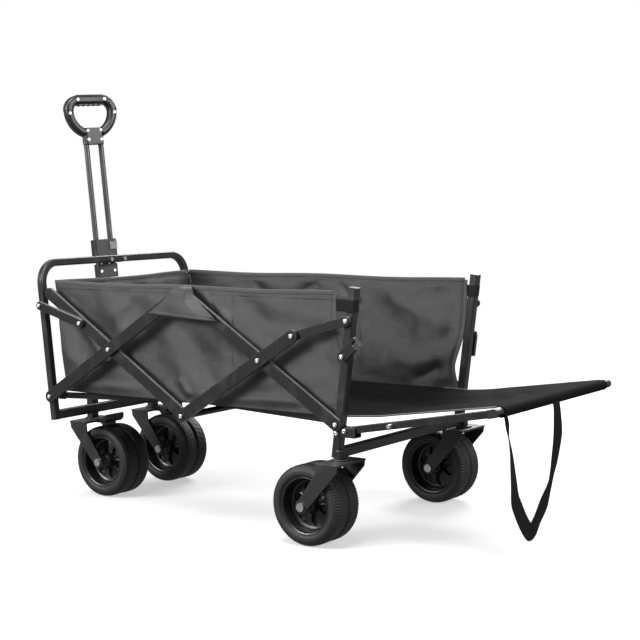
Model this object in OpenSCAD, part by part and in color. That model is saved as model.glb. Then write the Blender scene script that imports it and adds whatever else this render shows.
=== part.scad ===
// Folding camp wagon with a drop tailgate. Millimetres, +Z up.
// The handle end is -X, the tailgate end is +X, the ground is Z = 0.

/* [Side arms] */
// Distance from an arm crossing to the middle pivots
arm_long = 237; // [190:1:290]
// Distance from an arm crossing to the frame pivots
arm_short = 212; // [170:1:260]
// Slope of the arms when the wagon is open, in degrees
arm_angle = 32.2; // [26:0.1:38]
// Width of an arm's flat side
arm_w = 25; // [18:0.5:30]
// Depth of an arm from side to side
arm_t = 6.5; // [4:0.5:8]

/* [Frames] */
// Distance between the front leg centres
frame_width = 479; // [380:1:600]
// Height of the lower frame pivots above the ground
pivot_height = 239; // [226:1:300]
// Side of the front frame's tube
leg_size = 16; // [14:0.5:20]
// Side of the rear posts
post_size = 18; // [14:0.5:19]
// Outward lean of the front frame, in degrees
front_lean = 6; // [3:0.1:9]
// Outward lean of the rear posts, in degrees
rear_lean = 7.6; // [3:0.1:9]
// Height of the front frame above its lower pivots
frame_rise = 291; // [260:1:340]
// Bend radius of the front frame's upper corners
bend_r = 46; // [30:1:60]

/* [Casters] */
// Wheel diameter
wheel_d = 160; // [120:1:164]
// Wheel width over both treads
wheel_w = 82; // [60:1:84]
// Distance from a swivel axis back to its axle
trail = 60; // [50:1:70]
// Distance between the front swivel axes
front_track = 204; // [190:1:260]
// Thickness of the fork plates
fork_t = 4; // [3:0.5:5]

/* [Fabric] */
// Height of the walls' upper hem above the lower pivots
wall_rise = 250; // [200:1:290]
// Thickness of the fabric solids
cloth_t = 3; // [2:0.5:4]

/* [Tailgate] */
// Length of the tailgate arms
tail_len = 326; // [240:1:400]
// Slope of the open tailgate, in degrees
tail_slope = 10.4; // [0:0.1:14]
// Height of the strap's lowest point above the ground
strap_low = 38; // [20:1:120]

/* [Handle] */
// Length of the handle from its hinge to the grip
handle_len = 599; // [520:1:660]
// Turn of the grip about the draw tube, in degrees
handle_turn = 23; // [0:1:30]
// Distance between the twin rods
rod_gap = 36; // [34:0.5:42]
// Diameter of the twin rods
rod_d = 12.6; // [10:0.1:13]
// Diameter of the draw tube
tube_d = 15.6; // [13:0.1:16]

/* [Hidden] */
$fn = 48;
centre_x = -111.5;
run_fit = 0.05;
side_gap = 0.5;
half_span = (arm_long + arm_short) * cos(arm_angle);
front_x = centre_x - half_span;
rear_x = centre_x + half_span;
rise_long = arm_long * sin(arm_angle);
rise_short = arm_short * sin(arm_angle);
cross_z = pivot_height + rise_short;
low_z = cross_z - rise_long;
top_z = cross_z + rise_long;
link_out = 98;
link_rise = 199;
head_r = 4.6;
head_t = 2.5;
shank_r = 3.5;
leg_y = frame_width / 2;
in_y = leg_y + 2;
out_y = in_y + arm_t + side_gap;
face_y = out_y + arm_t;
post_y = in_y - 2.5 - post_size / 2;
post_face = post_y + post_size / 2;
leg_bottom = pivot_height - 53;
post_bottom = pivot_height - 66;
post_top = pivot_height + 262;
bar_z = pivot_height + frame_rise;
wheel_r = wheel_d / 2;
fork_top = wheel_r * 2 + 8;
fork_y = wheel_w / 2 + 4;
axle_r = 6;
rear_bar_z = post_bottom;
bar_h = 20;
front_bar_x = front_x - 2;
front_stem_x = front_bar_x - 18;
rear_stem_x = rear_x + 2;
stem_r = 6;
pedal_x = 31;
pedal_z = fork_top + 2.5;
pedal_pin_r = 1.8;
wall_y = leg_y - 13.5;
wall_top = pivot_height + wall_rise;
base_s = 12;
low_tube_r = 7;
base_z = max(pivot_height + 1, low_z + low_tube_r + base_s / 2 + 0.9);
floor_z = base_z + 8.5;
wall_front_low = front_x + 22;
wall_front_high = wall_front_low - (wall_rise - 10) * tan(front_lean);
tail_px = rear_x - 12 * tan(rear_lean) + post_size / 2 + 8.6;
tail_pz = pivot_height - 12;
tail_s = 14;
tail_tube_r = 8;
pin_s = 106;
latch_z = pivot_height + 131;
latch_x = rear_x + 131 * tan(rear_lean);
latch_open = 42;
latch_len = 46;
shut_x = tail_px + pin_s * sin(rear_lean);
shut_z = tail_pz + pin_s * cos(rear_lean);
latch_d = sqrt(pow(shut_x - latch_x, 2) + pow(shut_z - latch_z, 2));
hinge_x = front_bar_x - 31;
hinge_z = leg_bottom + 14;
tube_r = tube_d / 2;
rod_r = rod_d / 2;
block_z0 = 287;
block_z1 = 318.5;
collar_z0 = 337;
collar_z1 = 376;
clip_z0 = 320;
clip_z1 = 333;

// A copy on each side of the wagon.
module both_sides() {
  children();
  mirror([0, 1, 0]) children();
}

// A rectangle with rounded corners.
module soft_rect(w, h, r) {
  square([w - 2 * r, h], center = true);
  square([w, h - 2 * r], center = true);
  for (i = [-1, 1])
    for (j = [-1, 1])
      translate([i * (w / 2 - r), j * (h / 2 - r)]) circle(r);
}

// A cylinder along Y from y0 to y1.
module pin_y(x, z, r, y0, y1) {
  translate([x, y0, z]) rotate([-90, 0, 0]) cylinder(r = r, h = y1 - y0);
}

// A flat bar with round ends between two pivots in the XZ plane.
module link_bar(x0, z0, x1, z1, w, y0, t) {
  len = sqrt(pow(x1 - x0, 2) + pow(z1 - z0, 2));
  ang = atan2(z1 - z0, x1 - x0);
  translate([x0, y0, z0])
    rotate([0, -ang, 0]) {
      translate([0, 0, -w / 2]) cube([len, t, w]);
      rotate([-90, 0, 0]) cylinder(r = w / 2, h = t);
      translate([len, 0, 0]) rotate([-90, 0, 0]) cylinder(r = w / 2, h = t);
    }
}

// A rivet with a round head on its outer end.
module rivet(x, z, y0, y1) {
  pin_y(x, z, shank_r, y0, y1);
  pin_y(x, z, head_r, y1, y1 + head_t);
}

// A tube lying along Y, with soft edges.
module tube_along_y(x, z, w, h, len) {
  translate([x, len / 2, z]) rotate([90, 0, 0])
    linear_extrude(len) soft_rect(w, h, 2.5);
}

// Everything drawn in the front frame's own leaning axes.
module on_front_lean() {
  translate([front_x + 1.5, 0, leg_bottom]) rotate([0, -front_lean, 0]) children();
}

// Everything drawn in the rear posts' own leaning axes.
module on_rear_lean() {
  translate([rear_x, 0, pivot_height]) rotate([0, rear_lean, 0]) children();
}

// ---- front frame ----

module front_u_frame() {
  rise = (bar_z - leg_bottom) / cos(front_lean);
  color([0.15, 0.15, 0.16]) difference() {
    union() {
      on_front_lean() {
        both_sides() {
          translate([0, leg_y, 0])
            linear_extrude(rise - bend_r) soft_rect(leg_size, leg_size, 3);
          translate([0, leg_y - bend_r, rise - bend_r]) rotate([90, 0, 90])
            rotate_extrude(angle = 90) translate([bend_r, 0])
              soft_rect(leg_size, leg_size, 3);
        }
        translate([0, leg_y - bend_r, rise]) rotate([90, 0, 0])
          linear_extrude(2 * (leg_y - bend_r)) soft_rect(leg_size, leg_size, 3);
      }
      both_sides() {
        translate([front_x - 8, leg_y - leg_size / 2 - 3, base_z - 8])
          cube([32, 3.4, 16]);
        pin_y(front_x + 14, base_z, 3, leg_y - 25, leg_y - leg_size / 2 - 1);
      }
    }
    both_sides() {
      pin_y(front_x, pivot_height, shank_r + run_fit, leg_y - 11, leg_y + 20);
      pin_y(front_link_x(), front_link_z(), shank_r + run_fit, leg_y - 11, leg_y + 20);
    }
    clip_bolt_holes();
  }
}

function front_link_z() = pivot_height + link_rise;
function front_link_x() =
  front_x + 1.5 - (front_link_z() - leg_bottom) * tan(front_lean);
function rear_link_x() = rear_x + link_rise * tan(rear_lean);

module front_crossbar() {
  ear_y = tube_r + 0.5;
  color([0.12, 0.12, 0.13]) difference() {
    union() {
      tube_along_y(front_bar_x, leg_bottom + 10, 16, bar_h, 2 * leg_y - leg_size);
      both_sides() {
        translate([front_stem_x, front_track / 2, fork_top + 4])
          linear_extrude(pivot_height - 9 - fork_top) soft_rect(20, 20, 3);
        translate([hinge_x - 9, ear_y, hinge_z - 9]) cube([9 + 31 - 7, 3, 18]);
      }
      pin_y(hinge_x, hinge_z, 4, -ear_y - 5, ear_y + 5);
    }
    both_sides()
      translate([front_stem_x, front_track / 2, fork_top - 1])
        cylinder(r = stem_r + run_fit, h = 24);
  }
}

// ---- clip that holds the draw tube against the top bar ----

module in_handle_axes() {
  translate([hinge_x, 0, hinge_z]) rotate([0, -front_lean, 0]) children();
}

module clip_bolt_holes() {
  in_handle_axes() both_sides()
    translate([10, 22, 327]) rotate([0, 90, 0]) cylinder(r = 3.1, h = 40);
}

module handle_clip() {
  color([0.05, 0.05, 0.06]) difference() {
    in_handle_axes() {
      translate([14, -30, clip_z0]) cube([top_bar_x() - leg_size / 2 - 14, 60, clip_z1 - clip_z0]);
      both_sides()
        translate([-4, tube_r + 0.3, clip_z0]) cube([19, 1.5, clip_z1 - clip_z0]);
    }
    clip_bolt_holes();
  }
}

// Distance from the draw tube's axis to the top bar's axis.
function top_bar_x() =
  (front_x + 1.5 - hinge_x) * cos(front_lean) + (leg_bottom - hinge_z) * sin(front_lean);

module front_rivets() {
  color([0.75, 0.75, 0.76]) {
    both_sides() {
      rivet(front_x, pivot_height, leg_y - 9, face_y);
      rivet(front_link_x(), front_link_z(), leg_y - 9, face_y);
    }
    in_handle_axes() both_sides() {
      translate([18, 22, 327]) rotate([0, 90, 0])
        cylinder(r = 3, h = top_bar_x() + leg_size / 2 - 18);
      translate([top_bar_x() + leg_size / 2, 22, 327]) rotate([0, 90, 0])
        cylinder(r = 5, h = 2.6);
    }
  }
}

// ---- fabric ----

module side_wall() {
  translate([0, wall_y, 0]) rotate([90, 0, 0]) linear_extrude(cloth_t)
    polygon([
      [wall_front_high, wall_top], [wall_front_low, floor_z + 1],
      [rear_x - 42, floor_z + 1], [rear_x - 20, floor_z + 45],
      [rear_x - 14, cross_z], [rear_x + 2, wall_top]
    ]);
}

module side_wall_near() {
  color([0.2, 0.2, 0.21]) mirror([0, 1, 0]) side_wall();
}

module side_wall_far() {
  color([0.2, 0.2, 0.21]) side_wall();
}

// The front wall, with its lower corners cut back to clear the base bars as they rise.
module front_wall() {
  half = wall_y - cloth_t - 1;
  color([0.2, 0.2, 0.21]) difference() {
    translate([0, half, 0]) rotate([90, 0, 0])
      linear_extrude(2 * half)
        polygon([
          [wall_front_high, wall_top], [wall_front_low, floor_z + cloth_t + 2],
          [wall_front_low + cloth_t, floor_z + cloth_t + 2],
          [wall_front_high + cloth_t, wall_top]
        ]);
    both_sides()
      translate([wall_front_low - 40, half - 27, floor_z - 10]) cube([60, 60, 52]);
  }
}

module floor_panel() {
  wide = 2 * (wall_y - cloth_t - 1);
  color([0.14, 0.14, 0.15])
    translate([wall_front_low + cloth_t + 1, -wide / 2, floor_z])
      cube([rear_x - 16 - wall_front_low - cloth_t - 1, wide, cloth_t]);
}

module fabric_flaps() {
  color([0.2, 0.2, 0.21]) both_sides()
    translate([0, face_y + 6.5, 0]) rotate([90, 0, 0]) linear_extrude(cloth_t)
      polygon([
        [centre_x - 92, wall_top - 52], [centre_x + 94, wall_top - 62],
        [centre_x + 10, wall_top], [centre_x - 16, wall_top]
      ]);
}

// ---- side arms ----

// A front arm: from a frame pivot, over the crossing, to the middle.
module arms_a() {
  color([0.17, 0.17, 0.18]) both_sides() difference() {
    link_bar(front_x, pivot_height, centre_x, top_z, arm_w, out_y, arm_t);
    pin_y(front_x, pivot_height, shank_r + run_fit, 0, 900);
    pin_y(centre_x - arm_long * cos(arm_angle), cross_z, shank_r + run_fit, 0, 900);
    pin_y(centre_x, top_z, shank_r + run_fit, 0, 900);
  }
}

module rivets_a() {
  color([0.75, 0.75, 0.76]) both_sides() {
    rivet(centre_x - arm_long * cos(arm_angle), cross_z, in_y - 1, face_y);
    rivet(centre_x, top_z, in_y - 1, face_y);
  }
}

module arms_b() {
  color([0.17, 0.17, 0.18]) both_sides() difference() {
    link_bar(centre_x, low_z, front_x, cross_z + rise_short, arm_w, in_y, arm_t);
    pin_y(centre_x, low_z, shank_r + run_fit, 0, 900);
    pin_y(centre_x - arm_long * cos(arm_angle), cross_z, shank_r + run_fit, 0, 900);
  }
}

module lower_cross_tube() {
  color([0.1, 0.1, 0.11]) {
    pin_y(centre_x, low_z, low_tube_r, -in_y, in_y);
    both_sides() rivet(centre_x, low_z, in_y - 1, face_y);
  }
}

module arms_d() {
  color([0.17, 0.17, 0.18]) both_sides() difference() {
    link_bar(centre_x, top_z, rear_x, pivot_height, arm_w, in_y, arm_t);
    pin_y(centre_x, top_z, shank_r + run_fit, 0, 900);
    pin_y(centre_x + arm_long * cos(arm_angle), cross_z, shank_r + run_fit, 0, 900);
    pin_y(rear_x, pivot_height, shank_r + run_fit, 0, 900);
  }
}

module rivets_d() {
  color([0.75, 0.75, 0.76]) both_sides() {
    rivet(centre_x + arm_long * cos(arm_angle), cross_z, in_y - 1, face_y);
    rivet(rear_x, pivot_height, post_y - 6, out_y - side_gap);
  }
}

// The far end of each short link lies against its arm at this point.
function link_end_x(s) = centre_x + s * (arm_long + link_out) * cos(arm_angle);
link_end_z = cross_z + link_out * sin(arm_angle);

module arms_c() {
  color([0.17, 0.17, 0.18]) both_sides() {
    difference() {
      link_bar(centre_x, low_z, link_end_x(1), link_end_z, arm_w, out_y, arm_t);
      pin_y(centre_x, low_z, shank_r + 0.4, 0, 900);
      pin_y(centre_x + arm_long * cos(arm_angle), cross_z, shank_r + run_fit, 0, 900);
    }
    pin_y(link_end_x(1), link_end_z, head_r, face_y - 1, face_y + head_t);
  }
}

module front_links() {
  color([0.22, 0.22, 0.23]) both_sides() {
    difference() {
      link_bar(front_link_x(), front_link_z(), link_end_x(-1), link_end_z, 18, out_y, arm_t);
      pin_y(front_link_x(), front_link_z(), shank_r + run_fit, 0, 900);
    }
    pin_y(link_end_x(-1), link_end_z, head_r, face_y - 1, face_y + head_t);
  }
}

module rear_links() {
  color([0.22, 0.22, 0.23]) both_sides() difference() {
    link_bar(rear_link_x(), front_link_z(), link_end_x(1), link_end_z, 18, in_y, arm_t);
    pin_y(rear_link_x(), front_link_z(), shank_r + run_fit, 0, 900);
  }
}

// ---- rear frame ----

module rear_posts() {
  color([0.15, 0.15, 0.16]) difference() {
    union() {
      both_sides() {
        on_rear_lean()
          translate([0, post_y, -(pivot_height - post_bottom) / cos(rear_lean)])
            linear_extrude((post_top - post_bottom) / cos(rear_lean))
              soft_rect(post_size, post_size, 2.5);
        translate([rear_x - 30, post_y - post_size / 2 - 3, base_z - 3])
          cube([30, 3.4, 10]);
        pin_y(rear_x - 24, base_z + 1, 3, post_y - post_size / 2 - 17, post_y - post_size / 2 - 1);
        translate([rear_stem_x, post_y + 4, post_bottom]) cylinder(r = stem_r + 3.5, h = 15);
      }
    }
    both_sides() {
      rear_holes(shank_r + run_fit, post_y - 8);
      translate([rear_stem_x, post_y + 4, fork_top - 1])
        cylinder(r = stem_r + run_fit, h = 16);
    }
  }
}

// The pivots and bolts that go through a post.
module rear_holes(r, y0) {
  pin_y(rear_x, pivot_height, r, y0, post_y + 20);
  pin_y(rear_link_x(), front_link_z(), r, y0, post_y + 20);
  pin_y(latch_x, latch_z, r, y0, post_y + 20);
  pin_y(tail_px - 18.4, tail_pz - 5.5, r, y0, post_y + 20);
}

module rear_crossbar() {
  color([0.12, 0.12, 0.13])
    tube_along_y(rear_x - 8, rear_bar_z + bar_h / 2 - 1, 16, bar_h,
      2 * (post_y - post_size / 2));
}

module tail_brackets() {
  z0 = tail_pz - 10;
  color([0.15, 0.15, 0.16]) both_sides() difference() {
    union() {
      translate([tail_px - 26, post_face + 0.1, z0]) cube([50, 1.9, 17]);
      translate([tail_px - 26, post_y - post_size / 2 - 2, z0]) cube([50, 1.9, 17]);
      translate([tail_px - 4, post_y - post_size / 2 - 2, z0 - 2])
        cube([28, post_size + 4, 2]);
    }
    pin_y(tail_px - 18.4, tail_pz - 5.5, shank_r + run_fit, 0, 900);
    pin_y(tail_px, tail_pz, shank_r + run_fit, 0, 900);
  }
}

module rear_rivets() {
  color([0.75, 0.75, 0.76]) both_sides() {
    rivet(rear_link_x(), front_link_z(), post_y - 6, in_y + arm_t);
    rivet(latch_x, latch_z, post_y - 6, in_y + 8.5);
    rivet(tail_px - 18.4, tail_pz - 5.5, post_y - 6, post_face + 2);
    rivet(tail_px, tail_pz, post_y - post_size / 2 - 3, post_face + 2);
  }
}

module post_loops() {
  color([0.1, 0.1, 0.11]) both_sides() on_rear_lean()
    translate([0, post_y, 218]) linear_extrude(24) difference() {
      translate([-12.5, -post_size / 2 - 2.1])
        square([12.5 + post_size / 2 + 1, post_size + 4.2]);
      square([post_size + 0.4, post_size + 0.4], center = true);
    }
}

// ---- latch ----

module latch(turn) {
  y0 = in_y;
  color([0.2, 0.2, 0.21])
    translate([latch_x, 0, latch_z]) rotate([0, -turn, 0]) difference() {
      union() {
        translate([0, y0, -10]) cube([latch_len, 2, 21]);
        translate([0, y0 + 6.4, -10]) cube([latch_len, 2, 21]);
        translate([0, y0, 9]) cube([latch_len, 8.4, 2]);
        rotate([-90, 0, 0]) translate([0, 0, y0]) cylinder(r = 10, h = 2);
        rotate([-90, 0, 0]) translate([0, 0, y0 + 6.4]) cylinder(r = 10, h = 2);
      }
      rotate([-90, 0, 0]) cylinder(r = shank_r + run_fit, h = 900);
      translate([latch_d - 6, y0 - 1, -11]) cube([12, 20, 16]);
    }
}

// The near latch is swung up.
module latch_near() {
  mirror([0, 1, 0]) latch(latch_open);
}

// The far latch hangs down along its post.
module latch_far() {
  latch(-90 - rear_lean);
}

// ---- tailgate ----

module on_tail() {
  translate([tail_px, 0, tail_pz]) rotate([0, -tail_slope, 0]) children();
}

module tail_arms() {
  color([0.17, 0.17, 0.18]) both_sides() difference() {
    on_tail() {
      translate([0, post_y - tail_s / 2, -tail_s / 2])
        cube([tail_len - 14, tail_s, tail_s]);
      rotate([-90, 0, 0]) translate([0, 0, post_y - tail_s / 2])
        cylinder(r = tail_s / 2, h = tail_s);
    }
    pin_y(tail_px, tail_pz, shank_r + run_fit, 0, 900);
    on_tail() rotate([-90, 0, 0]) translate([pin_s, 0, 0])
      cylinder(r = 4 + run_fit, h = 900);
  }
}

module tail_caps() {
  color([0.05, 0.05, 0.06]) both_sides() on_tail() difference() {
    union() {
      translate([tail_len - 14, post_y - 8, -8]) cube([14, 16, 16]);
      translate([tail_len, post_y - 8, 0]) rotate([-90, 0, 0]) cylinder(r = 8, h = 16);
    }
    translate([tail_len, 0, 0]) rotate([-90, 0, 0])
      cylinder(r = tail_tube_r - 1 + run_fit, h = post_y + 4);
  }
}

module tail_tube() {
  color([0.15, 0.15, 0.16]) on_tail() {
    translate([tail_len, -post_y + 8, 0]) rotate([-90, 0, 0])
      cylinder(r = tail_tube_r, h = 2 * post_y - 16);
    translate([tail_len, -post_y, 0]) rotate([-90, 0, 0])
      cylinder(r = tail_tube_r - 1, h = 2 * post_y);
  }
}

module tail_panel() {
  wide = 2 * (post_y - 16);
  color([0.16, 0.16, 0.17]) difference() {
    on_tail() union() {
      translate([30, wide / 2, 0]) rotate([90, 0, 0]) linear_extrude(wide)
        polygon([
          [0, 20], [tail_len - 30, 8], [tail_len - 30, 10.4], [0, 22.5]
        ]);
      translate([tail_len, -wide / 2, 0]) rotate([-90, 0, 0])
        cylinder(r = tail_tube_r + 2.4, h = wide);
    }
    on_tail() translate([tail_len, -300, 0]) rotate([-90, 0, 0])
      cylinder(r = tail_tube_r + 0.3, h = 600);
  }
}

module tail_pins() {
  color([0.75, 0.75, 0.76]) both_sides() on_tail()
    rotate([-90, 0, 0]) translate([pin_s, 0, post_y - 5])
      cylinder(r = 4, h = in_y + 8.4 - post_y + 5);
}

module pull_strap() {
  zt = tail_pz + tail_len * sin(tail_slope);
  xs = tail_px + tail_len * cos(tail_slope);
  yn = -(post_y - 16);
  color([0.07, 0.07, 0.08])
    translate([xs + 1.2, 0, 0]) rotate([90, 0, -90]) linear_extrude(2.5)
      difference() {
        polygon([
          [-yn - 2, zt - 13], [-yn - 60, strap_low + 24], [-yn - 82, strap_low],
          [-yn - 116, strap_low + 4], [-yn - 172, strap_low + 60], [-yn - 226, zt - 13]
        ]);
        polygon([
          [-yn - 37, zt - 12], [-yn - 56, strap_low + 78], [-yn - 100, strap_low + 38],
          [-yn - 140, strap_low + 72], [-yn - 191, zt - 12]
        ]);
      }
}

// ---- floor frame ----

// A square bar in plan from a barrel at (x0, y0) to (x1, y1), with a short straight start.
module base_bar(x0, y0, x1, y1, dir, z) {
  h = base_s / 2;
  k = h * 1.04;
  translate([0, 0, z - h]) linear_extrude(base_s)
    polygon([
      [x0, y0 - h], [x0, y0 + h], [x0 + dir * 14, y0 + h],
      [x1, y1 + k], [x1, y1 - k], [x0 + dir * 14, y0 - h]
    ]);
  pin_y(x0, z, h + 1, y0 - h - 0.5, y0 + h + 0.5);
}

module base_bars_front() {
  y0 = leg_y - 17.5;
  color([0.12, 0.12, 0.13]) both_sides() difference() {
    base_bar(front_x + 14, y0, centre_x + 4, 112, 1, base_z);
    pin_y(front_x + 14, base_z, 3 + run_fit, 0, 900);
  }
}

module base_hub() {
  color([0.08, 0.08, 0.09]) {
    pin_y(centre_x + 1, base_z, 6, -105.5, 105.5);
    translate([centre_x + 1, 0, base_z - 6]) cylinder(r = 34, h = 12);
  }
}

module base_bars_rear() {
  y0 = post_y - post_size / 2 - 10;
  color([0.12, 0.12, 0.13]) both_sides() difference() {
    base_bar(rear_x - 24, y0, centre_x - 2, 144, -1, base_z + 1);
    pin_y(rear_x - 24, base_z + 1, 3 + run_fit, 0, 900);
  }
}

// ---- handle ----

module in_grip_axes() {
  in_handle_axes() rotate([0, 0, -handle_turn]) children();
}

module drawbar_tube() {
  color([0.2, 0.2, 0.21]) in_handle_axes() difference() {
    translate([0, 0, -8]) cylinder(r = tube_r, h = collar_z1 - 12);
    translate([0, -20, 0]) rotate([-90, 0, 0]) cylinder(r = 4 + run_fit, h = 40);
  }
}

// A block round the tube and both rods.
module rod_block(w, t, z0, z1, tube_top) {
  difference() {
    translate([0, 0, z0]) linear_extrude(z1 - z0) soft_rect(t, w, 5);
    translate([0, 0, z0 - 1]) cylinder(r = tube_r + run_fit, h = tube_top - z0 + 1);
    for (s = [-1, 1])
      translate([0, s * rod_gap / 2, z0 - 1])
        cylinder(r = rod_r + run_fit, h = z1 - z0 + 2);
  }
}

module handle_collar() {
  color([0.06, 0.06, 0.07]) in_grip_axes() difference() {
    rod_block(56, 27, collar_z0, collar_z1, collar_z1 - 20);
    translate([8, rod_gap / 2 - 8.5, collar_z0 + 14]) cube([10, 17, 19]);
  }
}

module collar_button() {
  color([0.35, 0.36, 0.37]) in_grip_axes()
    translate([11.2, rod_gap / 2 - 8.2, collar_z0 + 14.3]) cube([6, 16.4, 18.4]);
}

module handle_rods() {
  color([0.35, 0.35, 0.36]) in_grip_axes()
    for (s = [-1, 1])
      translate([0, s * rod_gap / 2, block_z0 + 4])
        cylinder(r = rod_r, h = handle_len + 22 - block_z0 - 4);
}

module slide_block() {
  color([0.06, 0.06, 0.07]) in_grip_axes() difference() {
    translate([0, 0, block_z0]) linear_extrude(block_z1 - block_z0) soft_rect(25, 51, 5);
    translate([0, 0, block_z0 - 1]) cylinder(r = tube_r + 0.1, h = 60);
    for (s = [-1, 1]) {
      translate([0, s * rod_gap / 2, block_z0 + 4]) cylinder(r = rod_r + run_fit, h = 60);
      translate([9, s * 16.5, block_z0 + 15]) rotate([0, 90, 0]) cylinder(r = 2.05, h = 20);
    }
  }
}

// The grip's outline as round bars: top, corners, sides and stem.
module grip_solid() {
  gz = handle_len;
  translate([0, 32, gz + 104]) rotate([90, 0, 0]) linear_extrude(64) soft_rect(26, 24, 9);
  for (i = [0 : 4])
    translate([0, -25 + i * 12.5, gz + 101]) rotate([0, 90, 0])
      translate([0, 0, -9]) cylinder(r = 10.6, h = 18);
  both_sides() {
    translate([0, 30, gz + 80]) rotate([90, 0, 90]) rotate_extrude(angle = 90)
      translate([24, 0]) soft_rect(22, 26, 9);
    translate([0, -4, gz + 80]) rotate([90, 0, 90]) rotate([0, 0, -64])
      rotate_extrude(angle = 66) translate([58, 0]) soft_rect(20.4, 26, 9);
  }
  translate([0, 0, gz]) linear_extrude(38) soft_rect(25, 46, 6);
}

module grip_bores() {
  gz = handle_len;
  for (s = [-1, 1])
    translate([0, s * rod_gap / 2, gz - 1]) cylinder(r = rod_r + run_fit, h = 23.2);
}

function screw_spots() = [
  [33, 104], [-33, 104], [55.5, 73], [-55.5, 73], [16.3, 32], [-16.3, 32], [16, 10.5], [-16, 10.5]
];

module grip_screws_at(r, x0, x1) {
  for (p = screw_spots())
    translate([x0, p[0], handle_len + p[1]]) rotate([0, 90, 0]) cylinder(r = r, h = x1 - x0);
}

module grip_front() {
  color([0.06, 0.06, 0.07]) in_grip_axes() difference() {
    grip_solid();
    translate([-40, -100, handle_len - 10]) cube([40, 200, 160]);
    grip_bores();
    grip_screws_at(2.05, 7, 30);
  }
}

module grip_back() {
  color([0.06, 0.06, 0.07]) in_grip_axes() difference() {
    grip_solid();
    translate([0, -100, handle_len - 10]) cube([40, 200, 160]);
    grip_bores();
  }
}

module handle_screws() {
  color([0.75, 0.75, 0.76]) in_grip_axes() {
    grip_screws_at(2, 8, 13);
    grip_screws_at(3, 13, 14);
    for (s = [-1, 1]) {
      translate([9.5, s * 16.5, block_z0 + 15]) rotate([0, 90, 0]) cylinder(r = 2, h = 3);
      translate([12.5, s * 16.5, block_z0 + 15]) rotate([0, 90, 0]) cylinder(r = 3, h = 1);
    }
  }
}

// ---- casters, drawn trailing to +X from the swivel axis ----

module at_caster(c) {
  front = c < 2;
  x = front ? front_stem_x : rear_stem_x;
  y = (c % 2 == 0 ? -1 : 1) * (front ? front_track / 2 : post_y + 4);
  translate([x, y, 0]) rotate([0, 0, front ? 0 : 180]) children();
}

module fork(braked) {
  color([0.13, 0.13, 0.14]) difference() {
    union() {
      translate([-25, -fork_y - fork_t, fork_top - 4])
        cube([50, 2 * (fork_y + fork_t), 4]);
      both_sides() {
        translate([0, fork_y + fork_t, 0]) rotate([90, 0, 0]) linear_extrude(fork_t)
          polygon([
            [-24, fork_top], [24, fork_top], [26, fork_top - 22],
            [trail + 11, wheel_r + 6], [trail - 9, wheel_r - 8], [0, fork_top - 40],
            [-22, fork_top - 15]
          ]);
        pin_y(trail, wheel_r, 13, fork_y, fork_y + fork_t);
      }
      translate([0, 0, fork_top]) cylinder(r = 17, h = 3.6);
      cylinder_pin();
      if (braked) brake_ears();
    }
    pin_y(trail, wheel_r, axle_r + run_fit, -200, 200);
  }
}

// Two ears and a pin on the top plate, for the brake pedal.
module brake_ears() {
  both_sides()
    translate([20, 16, fork_top - 4]) cube([pedal_x - 20 + 4, 3, 10]);
  pin_y(pedal_x, pedal_z, pedal_pin_r, -17, 17);
}

module cylinder_pin() {
  translate([0, 0, fork_top]) cylinder(r = stem_r, h = 14);
}

module axle() {
  color([0.75, 0.75, 0.76]) {
    pin_y(trail, wheel_r, axle_r, -fork_y - fork_t, fork_y + fork_t);
    both_sides() pin_y(trail, wheel_r, 8.5, fork_y + fork_t, fork_y + fork_t + 4);
  }
}

rim_r = wheel_r * 0.7;

module tyre() {
  w = wheel_w / 2;
  color([0.06, 0.06, 0.065]) translate([trail, 0, wheel_r]) rotate([90, 0, 0])
    rotate_extrude() difference() {
      union() {
        translate([rim_r, -w]) square([wheel_r - rim_r - 12, 2 * w]);
        translate([rim_r, -w + 12]) square([wheel_r - rim_r, 2 * w - 24]);
        for (s = [-1, 1]) translate([wheel_r - 12, s * (w - 12)]) circle(12);
      }
      translate([wheel_r - 4, -3]) square([6, 6]);
    }
}

module rim() {
  w = wheel_w / 2;
  color([0.09, 0.09, 0.1]) translate([trail, 0, wheel_r]) rotate([90, 0, 0]) {
    difference() {
      union() {
        rotate_extrude() translate([rim_r - 5, -w + 4]) square([4.9, 2 * w - 8]);
        rotate_extrude() translate([axle_r + 1, -7]) square([rim_r - axle_r - 3, 14]);
        rotate_extrude() translate([axle_r + run_fit, -w]) square([9, 2 * w]);
      }
      for (i = [0 : 5])
        rotate([0, 0, i * 60 + 15]) translate([rim_r * 0.62, 0, -30])
          linear_extrude(60) {
            circle(9.5);
            translate([5, 0]) circle(7);
          }
    }
  }
}

module pedal() {
  color([0.08, 0.08, 0.09]) difference() {
    union() {
      pin_y(pedal_x, pedal_z, 4, -15.5, 15.5);
      translate([0, 15.5, 0]) rotate([90, 0, 0]) linear_extrude(31)
        polygon([
          [pedal_x, pedal_z - 3], [40, pedal_z - 3], [40, pedal_z + 3.4],
          [pedal_x, pedal_z + 3.4]
        ]);
      translate([0, 28, 0]) rotate([90, 0, 0]) linear_extrude(56)
        polygon([
          [38, pedal_z - 4], [62, pedal_z - 4], [69, pedal_z + 2], [70, pedal_z + 14],
          [66, pedal_z + 15], [64, pedal_z + 5], [57, pedal_z + 3.4], [38, pedal_z + 3.4]
        ]);
    }
    pin_y(pedal_x, pedal_z, pedal_pin_r + run_fit, -200, 200);
    translate([44, -8, fork_top - 10]) cube([12, 16, 30]);
  }
}

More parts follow.
